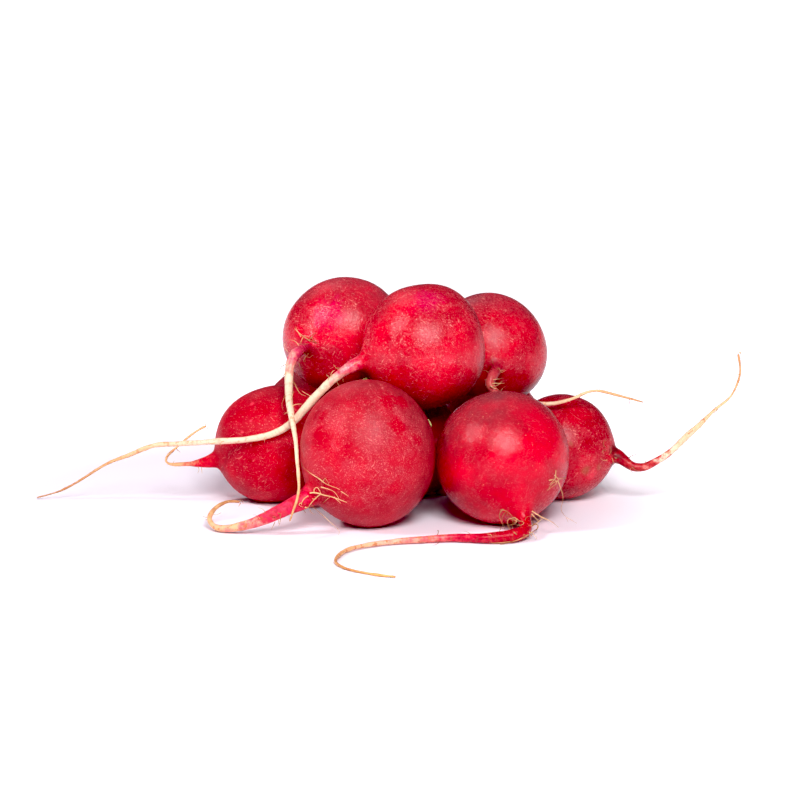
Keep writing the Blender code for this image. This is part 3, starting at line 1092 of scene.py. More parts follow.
@dataclass
class Radish:
    """One radish: its bulb, its tap root, the fine roots on it and its cut leaf stalks.

    aim points from the bulb's centre to its root, crown to its leaf stalks. A
    fullness of 2 makes that end of the bulb a true oval, and more makes it squarer.
    stretch lists a direction and how far the bulb is stretched along it. route holds
    the root's points after the neck, each as x, y, z and the root's thickness there.
    """

    name: str
    centre: Point
    across: float
    crown_reach: float
    root_reach: float
    neck_reach: float
    neck_thickness: float
    aim: Point
    route: list[tuple[float, float, float, float]]
    finish: SkinFinish
    crown_fullness: float = 2.0
    root_fullness: float = 2.0
    stretch: tuple[tuple[Point, float], ...] = ()
    crown: Point | None = None
    stalks: Stalks = Stalks()
    tufts: tuple[Tuft, ...] = ()
    hairs: tuple[Hair, ...] = ()
    hair_taper: float = 0.65
    rings: list[Ring] = field(default_factory=list)

    @property
    def upward(self) -> Vector:
        """The way from the bulb's centre to its leaf stalks."""
        return Vector(self.crown or [-part for part in self.aim]).normalized()

    def profile(self) -> list[tuple[float, float]]:
        """Draws the outline of the bulb and the neck.

        Returns:
            Each point's radius and height, from the crown down.
        """
        radius = self.across / 2
        power = 2.0 / self.crown_fullness
        points = []
        for ring in range(1, CROWN_RINGS + 1):
            turn = ring / CROWN_RINGS * math.pi / 2
            out = radius * math.sin(turn) ** power
            up = self.crown_reach * max(0.0, math.cos(turn)) ** power
            points.append((out, up - CROWN_DIMPLE * max(0.0, 1.0 - 2.0 * out / DIMPLE_ACROSS)))
        points.insert(0, (PIT_RADIUS, points[0][1] - PIT_DEPTH))
        power = 2.0 / self.root_fullness
        for ring in range(1, SHOULDER_RINGS + 1):
            turn = ring / SHOULDER_RINGS * NECK_STARTS
            out = radius * math.cos(turn) ** power
            points.append((out, -self.root_reach * math.sin(turn) ** power))
        before, start = points[-2:]
        end = (self.neck_thickness / 2, -self.neck_reach)
        first = tuple(b + NECK_LEAD * (b - a) for a, b in zip(before, start))
        second = (end[0], end[1] + NECK_TAIL * (start[1] - end[1]))
        for ring in range(1, NECK_RINGS + 1):
            points.append(bezier(start, first, second, end, ring / NECK_RINGS))
        return points

    def plan(self) -> None:
        """Works out every ring from the crown to the root's tip."""
        aim = Vector(self.aim).normalized()
        centre = Vector(self.centre)
        outline = self.profile()
        rings = [Ring(centre - aim * up, aim, out, 0.0) for out, up in outline]
        neck = len(rings) - 1
        for k in range(neck - 1, -1, -1):
            rings[k].along = rings[k + 1].along - math.dist(outline[k], outline[k + 1])
        rings += self.root_rings(rings[neck - 2], rings[neck])
        for k in range(neck - 1, len(rings)):
            ahead = rings[min(k + 1, len(rings) - 1)].middle
            rings[k].facing = (ahead - rings[k - 1].middle).normalized()
        self.rings = rings

    def root_rings(self, before: Ring, neck: Ring) -> list[Ring]:
        """Sets rings along the root's route.

        Args:
            before: a ring just before the neck, which gives the curve its start.
            neck: the ring that the root grows out of.

        Returns:
            The root's rings, which all still face as the bulb does.
        """
        knots = [(*ring.middle, 2 * ring.radius) for ring in (before, neck)] + list(self.route)
        steps = range(STEPS_A_KNOT * (len(knots) - 2) + 1)
        line = [through(knots, 1 + k / STEPS_A_KNOT) for k in steps]
        run = passed = 0.0
        last = Vector(line[0][:3])
        rings = []
        for x, y, z, thick in line[1:]:
            point = Vector((x, y, z))
            step = (point - last).length
            run, passed, last = run + step, passed + step, point
            if passed >= ROOT_STEP * (CLOSER if run < NEAR_NECK else 1.0):
                rings.append(Ring(point, neck.facing, thick / 2, run))
                passed = 0.0
        if passed > LAST_GAP:
            rings.append(Ring(last, neck.facing, line[-1][3] / 2, run))
        return rings

    def draw(self) -> bpy.types.Object:
        """Draws the rings one after another by extruding, and closes both ends.

        Returns:
            The plain shape of bulb and root.
        """
        deselected()
        start = self.rings[0]
        turn = start.facing.to_track_quat("Z", "Y")
        bpy.ops.mesh.primitive_circle_add(
            vertices=SIDES,
            radius=start.radius / SMOOTHED_SHARE * MM,
            fill_type="NOTHING",
            location=placed(start.middle),
            rotation=turn.to_euler(),
        )
        body = bpy.context.object
        body.name = body.data.name = self.name + "_body"
        bpy.ops.object.transform_apply(location=True, rotation=True, scale=True)
        bpy.ops.object.mode_set(mode="EDIT")
        bpy.ops.mesh.select_mode(type="VERT")
        bpy.ops.mesh.select_all(action="SELECT")
        for last, ring in zip(self.rings, self.rings[1:]):
            shift = (ring.middle - last.middle) * MM
            bpy.ops.mesh.extrude_region_move(TRANSFORM_OT_translate={"value": shift})
            turn_selected(last.facing.rotation_difference(ring.facing), placed(ring.middle))
            grow = ring.radius / last.radius
            bpy.ops.transform.resize(value=(grow,) * 3, center_override=placed(ring.middle))
        bpy.ops.mesh.select_all(action="SELECT")
        bpy.ops.mesh.fill_holes(sides=0)
        bpy.ops.mesh.select_all(action="SELECT")
        bpy.ops.mesh.normals_make_consistent(inside=False)
        bpy.ops.object.mode_set(mode="OBJECT")
        return body

    def stretch_bulb(self, body: bpy.types.Object) -> None:
        """Stretches the bulb along the heap's own directions, less and less down the neck.

        Args:
            body: the shape, whose points still follow the rings.
        """
        wide = Matrix.Identity(3)
        for along, by in self.stretch:
            wide = Matrix.Scale(by, 3, Vector(along)) @ wide
        centre = placed(self.centre)
        for vertex in body.data.vertices:
            share = min(1.0, max(0.0, 1.0 - self.rings[vertex.index // SIDES].along / STRETCH_ENDS))
            from_centre = vertex.co - centre
            vertex.co += (wide @ from_centre - from_centre) * share

    def mark(self, body: bpy.types.Object) -> None:
        """Writes how far from neck and crown each point lies, and which points are bulb or root.

        Args:
            body: the shape, whose points still follow the rings.
        """
        alongs = [self.rings[vertex.index // SIDES].along for vertex in body.data.vertices]
        crown = placed(self.centre) + self.upward * (self.crown_reach - CROWN_DIMPLE) * MM
        write(body, "along", alongs)
        write(body, "from_crown", [(vertex.co - crown).length / MM for vertex in body.data.vertices])
        bulb = body.vertex_groups.new(name="bulb")
        root = body.vertex_groups.new(name="root")
        for vertex, along in zip(body.data.vertices, alongs):
            share = min(1.0, max(0.0, 1.0 + along / KNOTS_REACH))
            bulb.add([vertex.index], 1.0 - share, "REPLACE")
            root.add([vertex.index], share, "REPLACE")

    def smooth(self, body: bpy.types.Object) -> None:
        """Rounds the drawn rings and gives the bulb its lumps and the root its knots.

        Args:
            body: the shape.
        """
        apply(body, "SUBSURF", levels=1, render_levels=1)
        for group, size, amount in LUMPS:
            texture = bpy.data.textures.new(f"{self.name}_{group}", "CLOUDS")
            texture.noise_scale = size
            texture.noise_depth = 2
            apply(
                body,
                "DISPLACE",
                texture=texture,
                texture_coords="GLOBAL",
                vertex_group=group,
                mid_level=0.5,
                strength=amount * MM,
            )
        apply(body, "SUBSURF", levels=1, render_levels=1)
        bpy.ops.object.shade_smooth()

    @staticmethod
    def rest_on_surface(body: bpy.types.Object) -> None:
        """Flattens what would reach below the surface that the heap lies on."""
        for vertex in body.data.vertices:
            vertex.co.z = max(vertex.co.z, 0.0)

    def make_hairs(
        self, body: bpy.types.Object, sight: Sight, finish: bpy.types.Material
    ) -> bpy.types.Object:
        """Adds the radish's fine side roots as one piece.

        Args:
            body: the radish that they grow from.
            sight: the camera, through which the drawn ones were placed.
            finish: their material.

        Returns:
            The piece.
        """
        draw = random.Random(self.name)
        lines = [hair.drawn(body, sight) for hair in self.hairs]
        for tuft in self.tufts:
            lines += [tuft.grown(self, draw) for _ in range(tuft.count)]
        deselected()
        bpy.ops.curve.primitive_nurbs_path_add(location=(0.0, 0.0, 0.0))
        curve = bpy.context.object
        curve.name = curve.data.name = self.name + "_fine_roots"
        curve.data.splines.clear()
        curve.data.dimensions = "3D"
        curve.data.bevel_depth = 0.5 * MM
        curve.data.bevel_resolution = 1
        curve.data.use_fill_caps = True
        curve.data.resolution_u = 3
        for points, thick in lines:
            spline = curve.data.splines.new("NURBS")
            spline.points.add(len(points) - 1)
            spline.order_u = min(4, len(points))
            spline.use_endpoint_u = True
            for k, (target, point) in enumerate(zip(spline.points, points)):
                target.co = (*point, 1.0)
                target.radius = thick * (1.0 - self.hair_taper * k / (len(points) - 1))
        bpy.ops.object.convert(target="MESH")
        hairs = bpy.context.object
        dressed(hairs, finish)
        bpy.ops.object.shade_smooth()
        return hairs

    def build(self, sight: Sight, hair_finish: bpy.types.Material, stalk_finish: bpy.types.Material) -> None:
        """Builds and dresses the whole radish.

        Args:
            sight: the camera, through which its fine roots were placed.
            hair_finish: the material of its fine roots.
            stalk_finish: the material of its leaf stalks.
        """
        self.plan()
        body = self.draw()
        self.stretch_bulb(body)
        self.mark(body)
        self.smooth(body)
        self.rest_on_surface(body)
        dressed(body, self.finish.material(self.name + "_skin"))
        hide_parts(self.name)
        self.keep(body, "radish_skin")
        self.keep(self.make_hairs(body, sight, hair_finish), "fine_roots")
        self.keep(self.stalks.make(self, stalk_finish), "leaf_stalks")

    @staticmethod
    def keep(piece: bpy.types.Object, slot: str) -> None:
        """Lets a finished piece ride with the heap and reports it.

        Args:
            piece: the piece.
            slot: not used.
        """
        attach(piece, BODY)
        triangles = sum(len(face.vertices) - 2 for face in piece.data.polygons)
        logging.info("%s: %d triangles", piece.name, triangles)


# Made-up fine roots: round the roots that the photograph hides, and a few on the others
UNSEEN_TUFTS = (Tuft(low=0.0, high=7.0, count=10, length=5.0), Tuft(low=4.0, high=60.0, count=7, length=3.5))
EXTRA_TUFTS = (Tuft(low=0.0, high=5.0, count=5, length=3.5), Tuft(low=6.0, high=60.0, count=8, length=2.6))

# The fine roots that the photograph shows, radish by radish, each by its bends
TOP_LEFT_HAIRS = (
    Hair(
        ((310, 341, 0.2), (306, 338.5, 1.0), (301, 334.5, 1.6), (296, 330.5, 1.6), (294.5, 328, 1.2)),
        thick=0.5,
    ),
    Hair(((301, 337, 0.6), (298, 332, 1.3), (296, 329, 1.3), (295.5, 326, 1.0)), thick=0.24),
    Hair(
        ((303, 337, 0.8), (301, 341, 1.2), (300, 344, 1.0), (304, 344.5, 0.8), (309, 343.5, 0.3)),
        thick=0.3,
    ),
    Hair(((309, 340, 0.3), (312, 337, 0.9), (313.5, 334, 1.0), (316, 332, 0.5)), thick=0.34),
    Hair(((314, 341, 0.2), (312, 337.5, 0.9), (309, 336, 1.2), (304, 336, 1.0)), thick=0.28),
    Hair(((317, 343, 0.1), (314, 341.5, 0.6), (311, 340.5, 0.6), (309, 340, 0.3)), thick=0.34),
    Hair(
        ((309, 353, 0.2), (306, 356, 0.8), (308, 358, 1.0), (311, 357, 0.6), (313, 355, 0.3)),
        thick=0.28,
    ),
    Hair(
        ((306, 356, 0.3), (304, 359, 0.9), (303, 362, 1.1), (305, 362.5, 0.8), (306, 360, 0.4)),
        thick=0.26,
    ),
    Hair(((299, 363, 0.2), (299.5, 367, 0.8), (301, 370, 1.0), (304, 370.5, 0.6)), thick=0.34),
    Hair(
        ((293, 381, 0.2), (296, 386, 0.6), (298, 391, 0.8), (301, 395, 0.8), (306, 396, 0.6)),
        thick=0.4,
    ),
    Hair(((286, 372, 0.1), (284, 375, 0.5), (282.5, 377, 0.5), (281, 379.5, 0.5)), thick=0.3),
    Hair(((285.5, 396, 0.1), (282, 401, 0.6), (281, 405, 0.7), (283, 410, 0.6)), thick=0.24),
    Hair(((288, 352, 0.1), (285, 349, 0.6), (284, 346, 0.8), (285, 343, 0.6)), thick=0.2),
)
TOP_MIDDLE_HAIRS = (
    Hair(((339, 370, 0.2), (336, 368, 0.8), (334, 366, 1.1), (333.5, 364, 1.2)), thick=0.3),
    Hair(((331, 375.5, 0.1), (331, 373, 0.7), (332.5, 371, 0.9), (334.5, 370.5, 0.8)), thick=0.36),
    Hair(((329, 378, 0.1), (328.5, 376, 0.7), (327.5, 375, 0.8), (326, 375, 0.8)), thick=0.36),
    Hair(((328, 380, 0.1), (329, 377, 0.6), (331, 375.5, 0.7), (333.5, 376, 0.5)), thick=0.26),
    Hair(((343, 379, 0.1), (342.5, 381, 0.5), (343, 382.5, 0.5), (344.5, 381, 0.4)), thick=0.22),
    Hair(((222, 442, 0.1), (219, 439, 0.4), (216, 438, 0.5), (213, 439, 0.4)), thick=0.18),
)
TOP_RIGHT_HAIRS = (
    Hair(((492, 384, 0.2), (496, 382, 0.8), (500, 384.5, 1.0), (505, 383, 0.8)), thick=0.34),
    Hair(((493, 386, 0.3), (497, 386.5, 0.8), (500, 384, 0.9), (502, 381, 0.8)), thick=0.28),
    Hair(((493, 380, 0.3), (497, 378.5, 0.8), (500, 379.5, 0.7), (503, 378, 0.5)), thick=0.26),
    Hair(((490, 386, 0.3), (494, 389, 0.8), (497, 388, 0.9), (499, 390, 0.6)), thick=0.36),
    Hair(((487, 380, 0.1), (484, 379, 0.6), (482, 381, 0.7), (480, 380, 0.6)), thick=0.22),
)
FRONT_LEFT_HAIRS = (
    Hair(
        ((318, 478, 0.2), (312, 474.5, 0.3), (306, 470, 0.4), (302, 466, 0.4), (300.5, 462, 0.3)),
        thick=0.26,
    ),
    Hair(
        (
            (318, 478, 0.3), (321, 480, 0.7), (324, 483, 0.9), (330, 486, 1.0), (337, 488, 1.0),
            (339.5, 489.5, 0.8),
        ),
        thick=0.42,
    ),
    Hair(
        ((322, 482, 0.6), (325, 479, 1.2), (323.5, 476.5, 1.2), (328, 481, 1.0), (329, 485, 0.8)),
        thick=0.3,
    ),
    Hair(
        ((321, 487, 0.5), (328, 489, 0.9), (334, 490.5, 1.0), (337, 495, 1.0), (339, 499, 0.9)),
        thick=0.36,
    ),
    Hair(
        (
            (310, 493, 0.3), (316, 492, 0.8), (323, 495.5, 1.2), (330, 496, 1.3), (338, 499, 1.2),
            (347, 502.5, 0.8),
        ),
        thick=0.56,
    ),
    Hair(
        ((314, 492, 0.3), (313.5, 489, 0.9), (317, 486, 1.2), (319, 489, 1.0), (321, 494, 0.8)),
        thick=0.42,
    ),
    Hair(
        ((321, 494, 0.6), (318, 496, 1.0), (315, 498.5, 1.2), (312, 502, 1.0), (309, 506, 0.8)),
        thick=0.46,
    ),
    Hair(((308, 496, 0.3), (304, 498, 0.8), (301, 502, 1.0), (301.5, 505, 0.8)), thick=0.46),
    Hair(((301, 503, 0.3), (297, 504, 0.8), (300, 506.5, 0.9), (303, 507, 0.6)), thick=0.3),
    Hair(((323, 503, 0.3), (325, 501, 0.8), (327, 499, 1.0), (330, 497, 1.0)), thick=0.28),
    Hair(((341, 491.5, 0.3), (344, 493, 0.7), (346, 494.5, 0.8), (348.5, 496.5, 0.7)), thick=0.3),
    Hair(((334, 497, 1.0), (337, 500, 1.1), (339, 501.5, 1.1), (341, 503.5, 0.9)), thick=0.3),
    Hair(((305, 507, 0.2), (306.5, 508.5, 0.8), (308, 508, 0.9), (309, 506.5, 0.5)), thick=0.5),
    Hair(((275, 522, 0.1), (273.5, 525, 0.5), (272.5, 527, 0.7), (271.5, 529.5, 0.8)), thick=0.32),
    Hair(((280, 515, 0.1), (281, 519, 0.5), (280, 523, 0.6), (278.5, 526, 0.5)), thick=0.34),
    Hair(((278, 514, 0.2), (279, 512.5, 0.6), (281, 513.5, 0.8), (281.5, 516, 0.7)), thick=0.4),
    Hair(((273, 517, 0.2), (275, 516, 0.7), (276.5, 517.5, 0.8), (275.5, 519.5, 0.5)), thick=0.32),
    Hair(((260, 519, 0.1), (258, 516, 0.4), (256, 514.5, 0.5), (253, 515, 0.4)), thick=0.2),
    Hair(
        (
            (311, 505, 0.1), (318, 511, 0.3), (326, 518, 0.4), (333, 525, 0.4), (342, 532, 0.4),
            (338, 535, 0.3),
        ),
        thick=0.24,
    ),
)
FRONT_RIGHT_HAIRS = (
    Hair(
        (
            (503, 509, 0.2), (500, 512, 0.8), (498.5, 516, 1.0), (501, 520, 1.0), (503, 525, 0.9),
            (504.5, 529, 0.6),
        ),
        thick=0.36,
    ),
    Hair(((506, 512, 0.3), (503, 514, 0.9), (501, 518, 1.1), (502.5, 521, 0.9)), thick=0.3),
    Hair(
        ((500, 510, 0.2), (503, 509.5, 0.8), (508, 511.5, 1.0), (511, 514.5, 1.1), (513, 518, 1.0)),
        thick=0.3,
    ),
    Hair(
        (
            (516, 521, 0.3), (512, 518, 1.2), (508.5, 518.5, 1.8), (507, 522, 2.0), (508, 527, 1.8),
            (510.5, 529.5, 1.2),
        ),
        thick=0.52,
    ),
    Hair(
        ((518, 520, 0.3), (515, 517, 1.2), (511, 518, 1.6), (512, 522, 1.4), (515, 524, 1.0)),
        thick=0.36,
    ),
    Hair(((512, 522, 1.0), (514, 525, 1.4), (511, 527.5, 1.3), (513, 530, 0.8)), thick=0.3),
    Hair(((508, 513, 0.5), (505, 515.5, 1.2), (508, 517, 1.0), (510, 515, 0.6)), thick=0.26),
    Hair(
        (
            (513, 523, 0.8), (517, 520.5, 1.0), (522, 521, 1.0), (525, 523, 0.8), (522, 525.5, 0.8),
            (517, 525, 0.8),
        ),
        thick=0.3,
    ),
    Hair(((518, 525, 0.5), (525, 524.5, 0.8), (531, 525, 1.0), (534, 527, 0.9)), thick=0.36),
    Hair(((510, 525, 1.0), (514, 524, 1.6), (518, 523, 1.2), (516, 526, 1.0)), thick=0.4),
    Hair(((513, 518, 0.8), (516, 516, 1.2), (518, 521, 1.2), (515, 524, 1.2)), thick=0.4),
    Hair(
        (
            (532, 511, 0.2), (537, 514.5, 0.8), (543, 518, 1.2), (550, 520.5, 1.2), (555, 524, 1.0),
            (558.5, 527.5, 0.8),
        ),
        thick=0.44,
    ),
    Hair(((531.5, 514, 0.2), (534, 516.5, 0.6), (536.5, 519, 0.8), (538.5, 521.5, 0.8)), thick=0.42),
    Hair(((531.5, 520, 0.2), (533, 521.5, 0.5), (533.5, 523.5, 0.5), (533.5, 526, 0.4)), thick=0.3),
    Hair(((532, 526, 0.3), (537, 523, 0.8), (541, 520.5, 1.0), (543, 517, 1.0)), thick=0.3),
    Hair(
        ((534, 524, 0.5), (538, 524, 1.0), (539, 528, 1.0), (535, 531, 0.9), (530, 532.5, 0.5)),
        thick=0.46,
    ),
    Hair(((538, 527, 0.8), (537, 530, 0.9), (532, 532, 0.6), (527, 535, 0.4)), thick=0.4),
    Hair(((529, 532, 0.2), (531, 534, 0.5), (532, 535.5, 0.5), (531, 536.5, 0.4)), thick=0.3),
    Hair(
        ((528, 535, 0.2), (522, 538, 0.4), (516, 541, 0.4), (508, 543, 0.4), (500, 544.5, 0.3)),
        thick=0.42,
    ),
    Hair(((510, 541.5, 0.2), (504, 542.5, 0.4), (497, 543.5, 0.4), (491, 543, 0.3)), thick=0.4),
    Hair(((514, 532.3, 0.05), (515, 533, 0.2), (516, 534, 0.2), (517, 535, 0.05)), thick=0.6),
    Hair(
        ((556, 470, 0.2), (555.5, 475, 0.6), (556, 479, 0.8), (552, 482, 0.8), (549.5, 485, 0.7)),
        thick=0.36,
    ),
    Hair(
        (
            (549, 480.5, 0.3), (553, 479, 0.8), (558, 481, 0.9), (556, 484.5, 0.9), (551, 487.5, 0.8),
            (547, 490.5, 0.4),
        ),
        thick=0.34,
    ),
    Hair(
        (
            (554, 475, 0.4), (558, 478, 0.9), (559.5, 481, 0.9), (555, 481.5, 0.8), (551, 484, 0.7),
            (549, 488.5, 0.5),
        ),
        thick=0.3,
    ),
    Hair(((559, 479, 0.4), (561.5, 478, 0.8), (564, 479, 0.8), (566, 477, 0.6)), thick=0.26),
    Hair(
        (
            (558, 481, 0.5), (560, 486, 0.9), (562, 492, 1.0), (563.5, 498, 1.0), (562, 504, 1.0),
            (560.5, 509.5, 1.0), (563, 514, 1.0), (566.5, 517.5, 1.0), (568, 522, 1.0),
        ),
        thick=0.26,
    ),
    Hair(((566.5, 517.5, 0.5), (569.5, 519, 0.5), (573, 521, 0.5), (577, 523.5, 0.5)), thick=0.22),
    Hair(((470, 534, 0.1), (468, 531.5, 0.4), (465, 531, 0.4), (463, 532, 0.3)), thick=0.2),
    Hair(((440, 541, 0.1), (438, 544, 0.4), (435, 545.5, 0.4), (432, 545, 0.3)), thick=0.2),
)
RIGHT_HAIRS = (
    Hair(((605, 447, 0.2), (602, 444, 0.8), (603, 440.5, 1.0), (607, 440, 0.8)), thick=0.28),
    Hair(((606, 451, 0.2), (603, 448.5, 0.8), (601, 451, 0.9), (604, 454, 0.6)), thick=0.26),
    Hair(((609, 455, 0.2), (612, 451, 0.8), (611.5, 448, 0.9), (609, 446, 0.8)), thick=0.26),
    Hair(((607, 460, 0.2), (604, 461.5, 0.6), (602, 460, 0.7), (600, 457.5, 0.7)), thick=0.24),
    Hair(((632, 467, 0.1), (634, 469.5, 0.5), (637, 471, 0.5), (640, 471, 0.4)), thick=0.28),
    Hair(((612, 458, 0.1), (614, 462, 0.6), (613, 465.5, 0.7), (615, 468, 0.5)), thick=0.24),
)

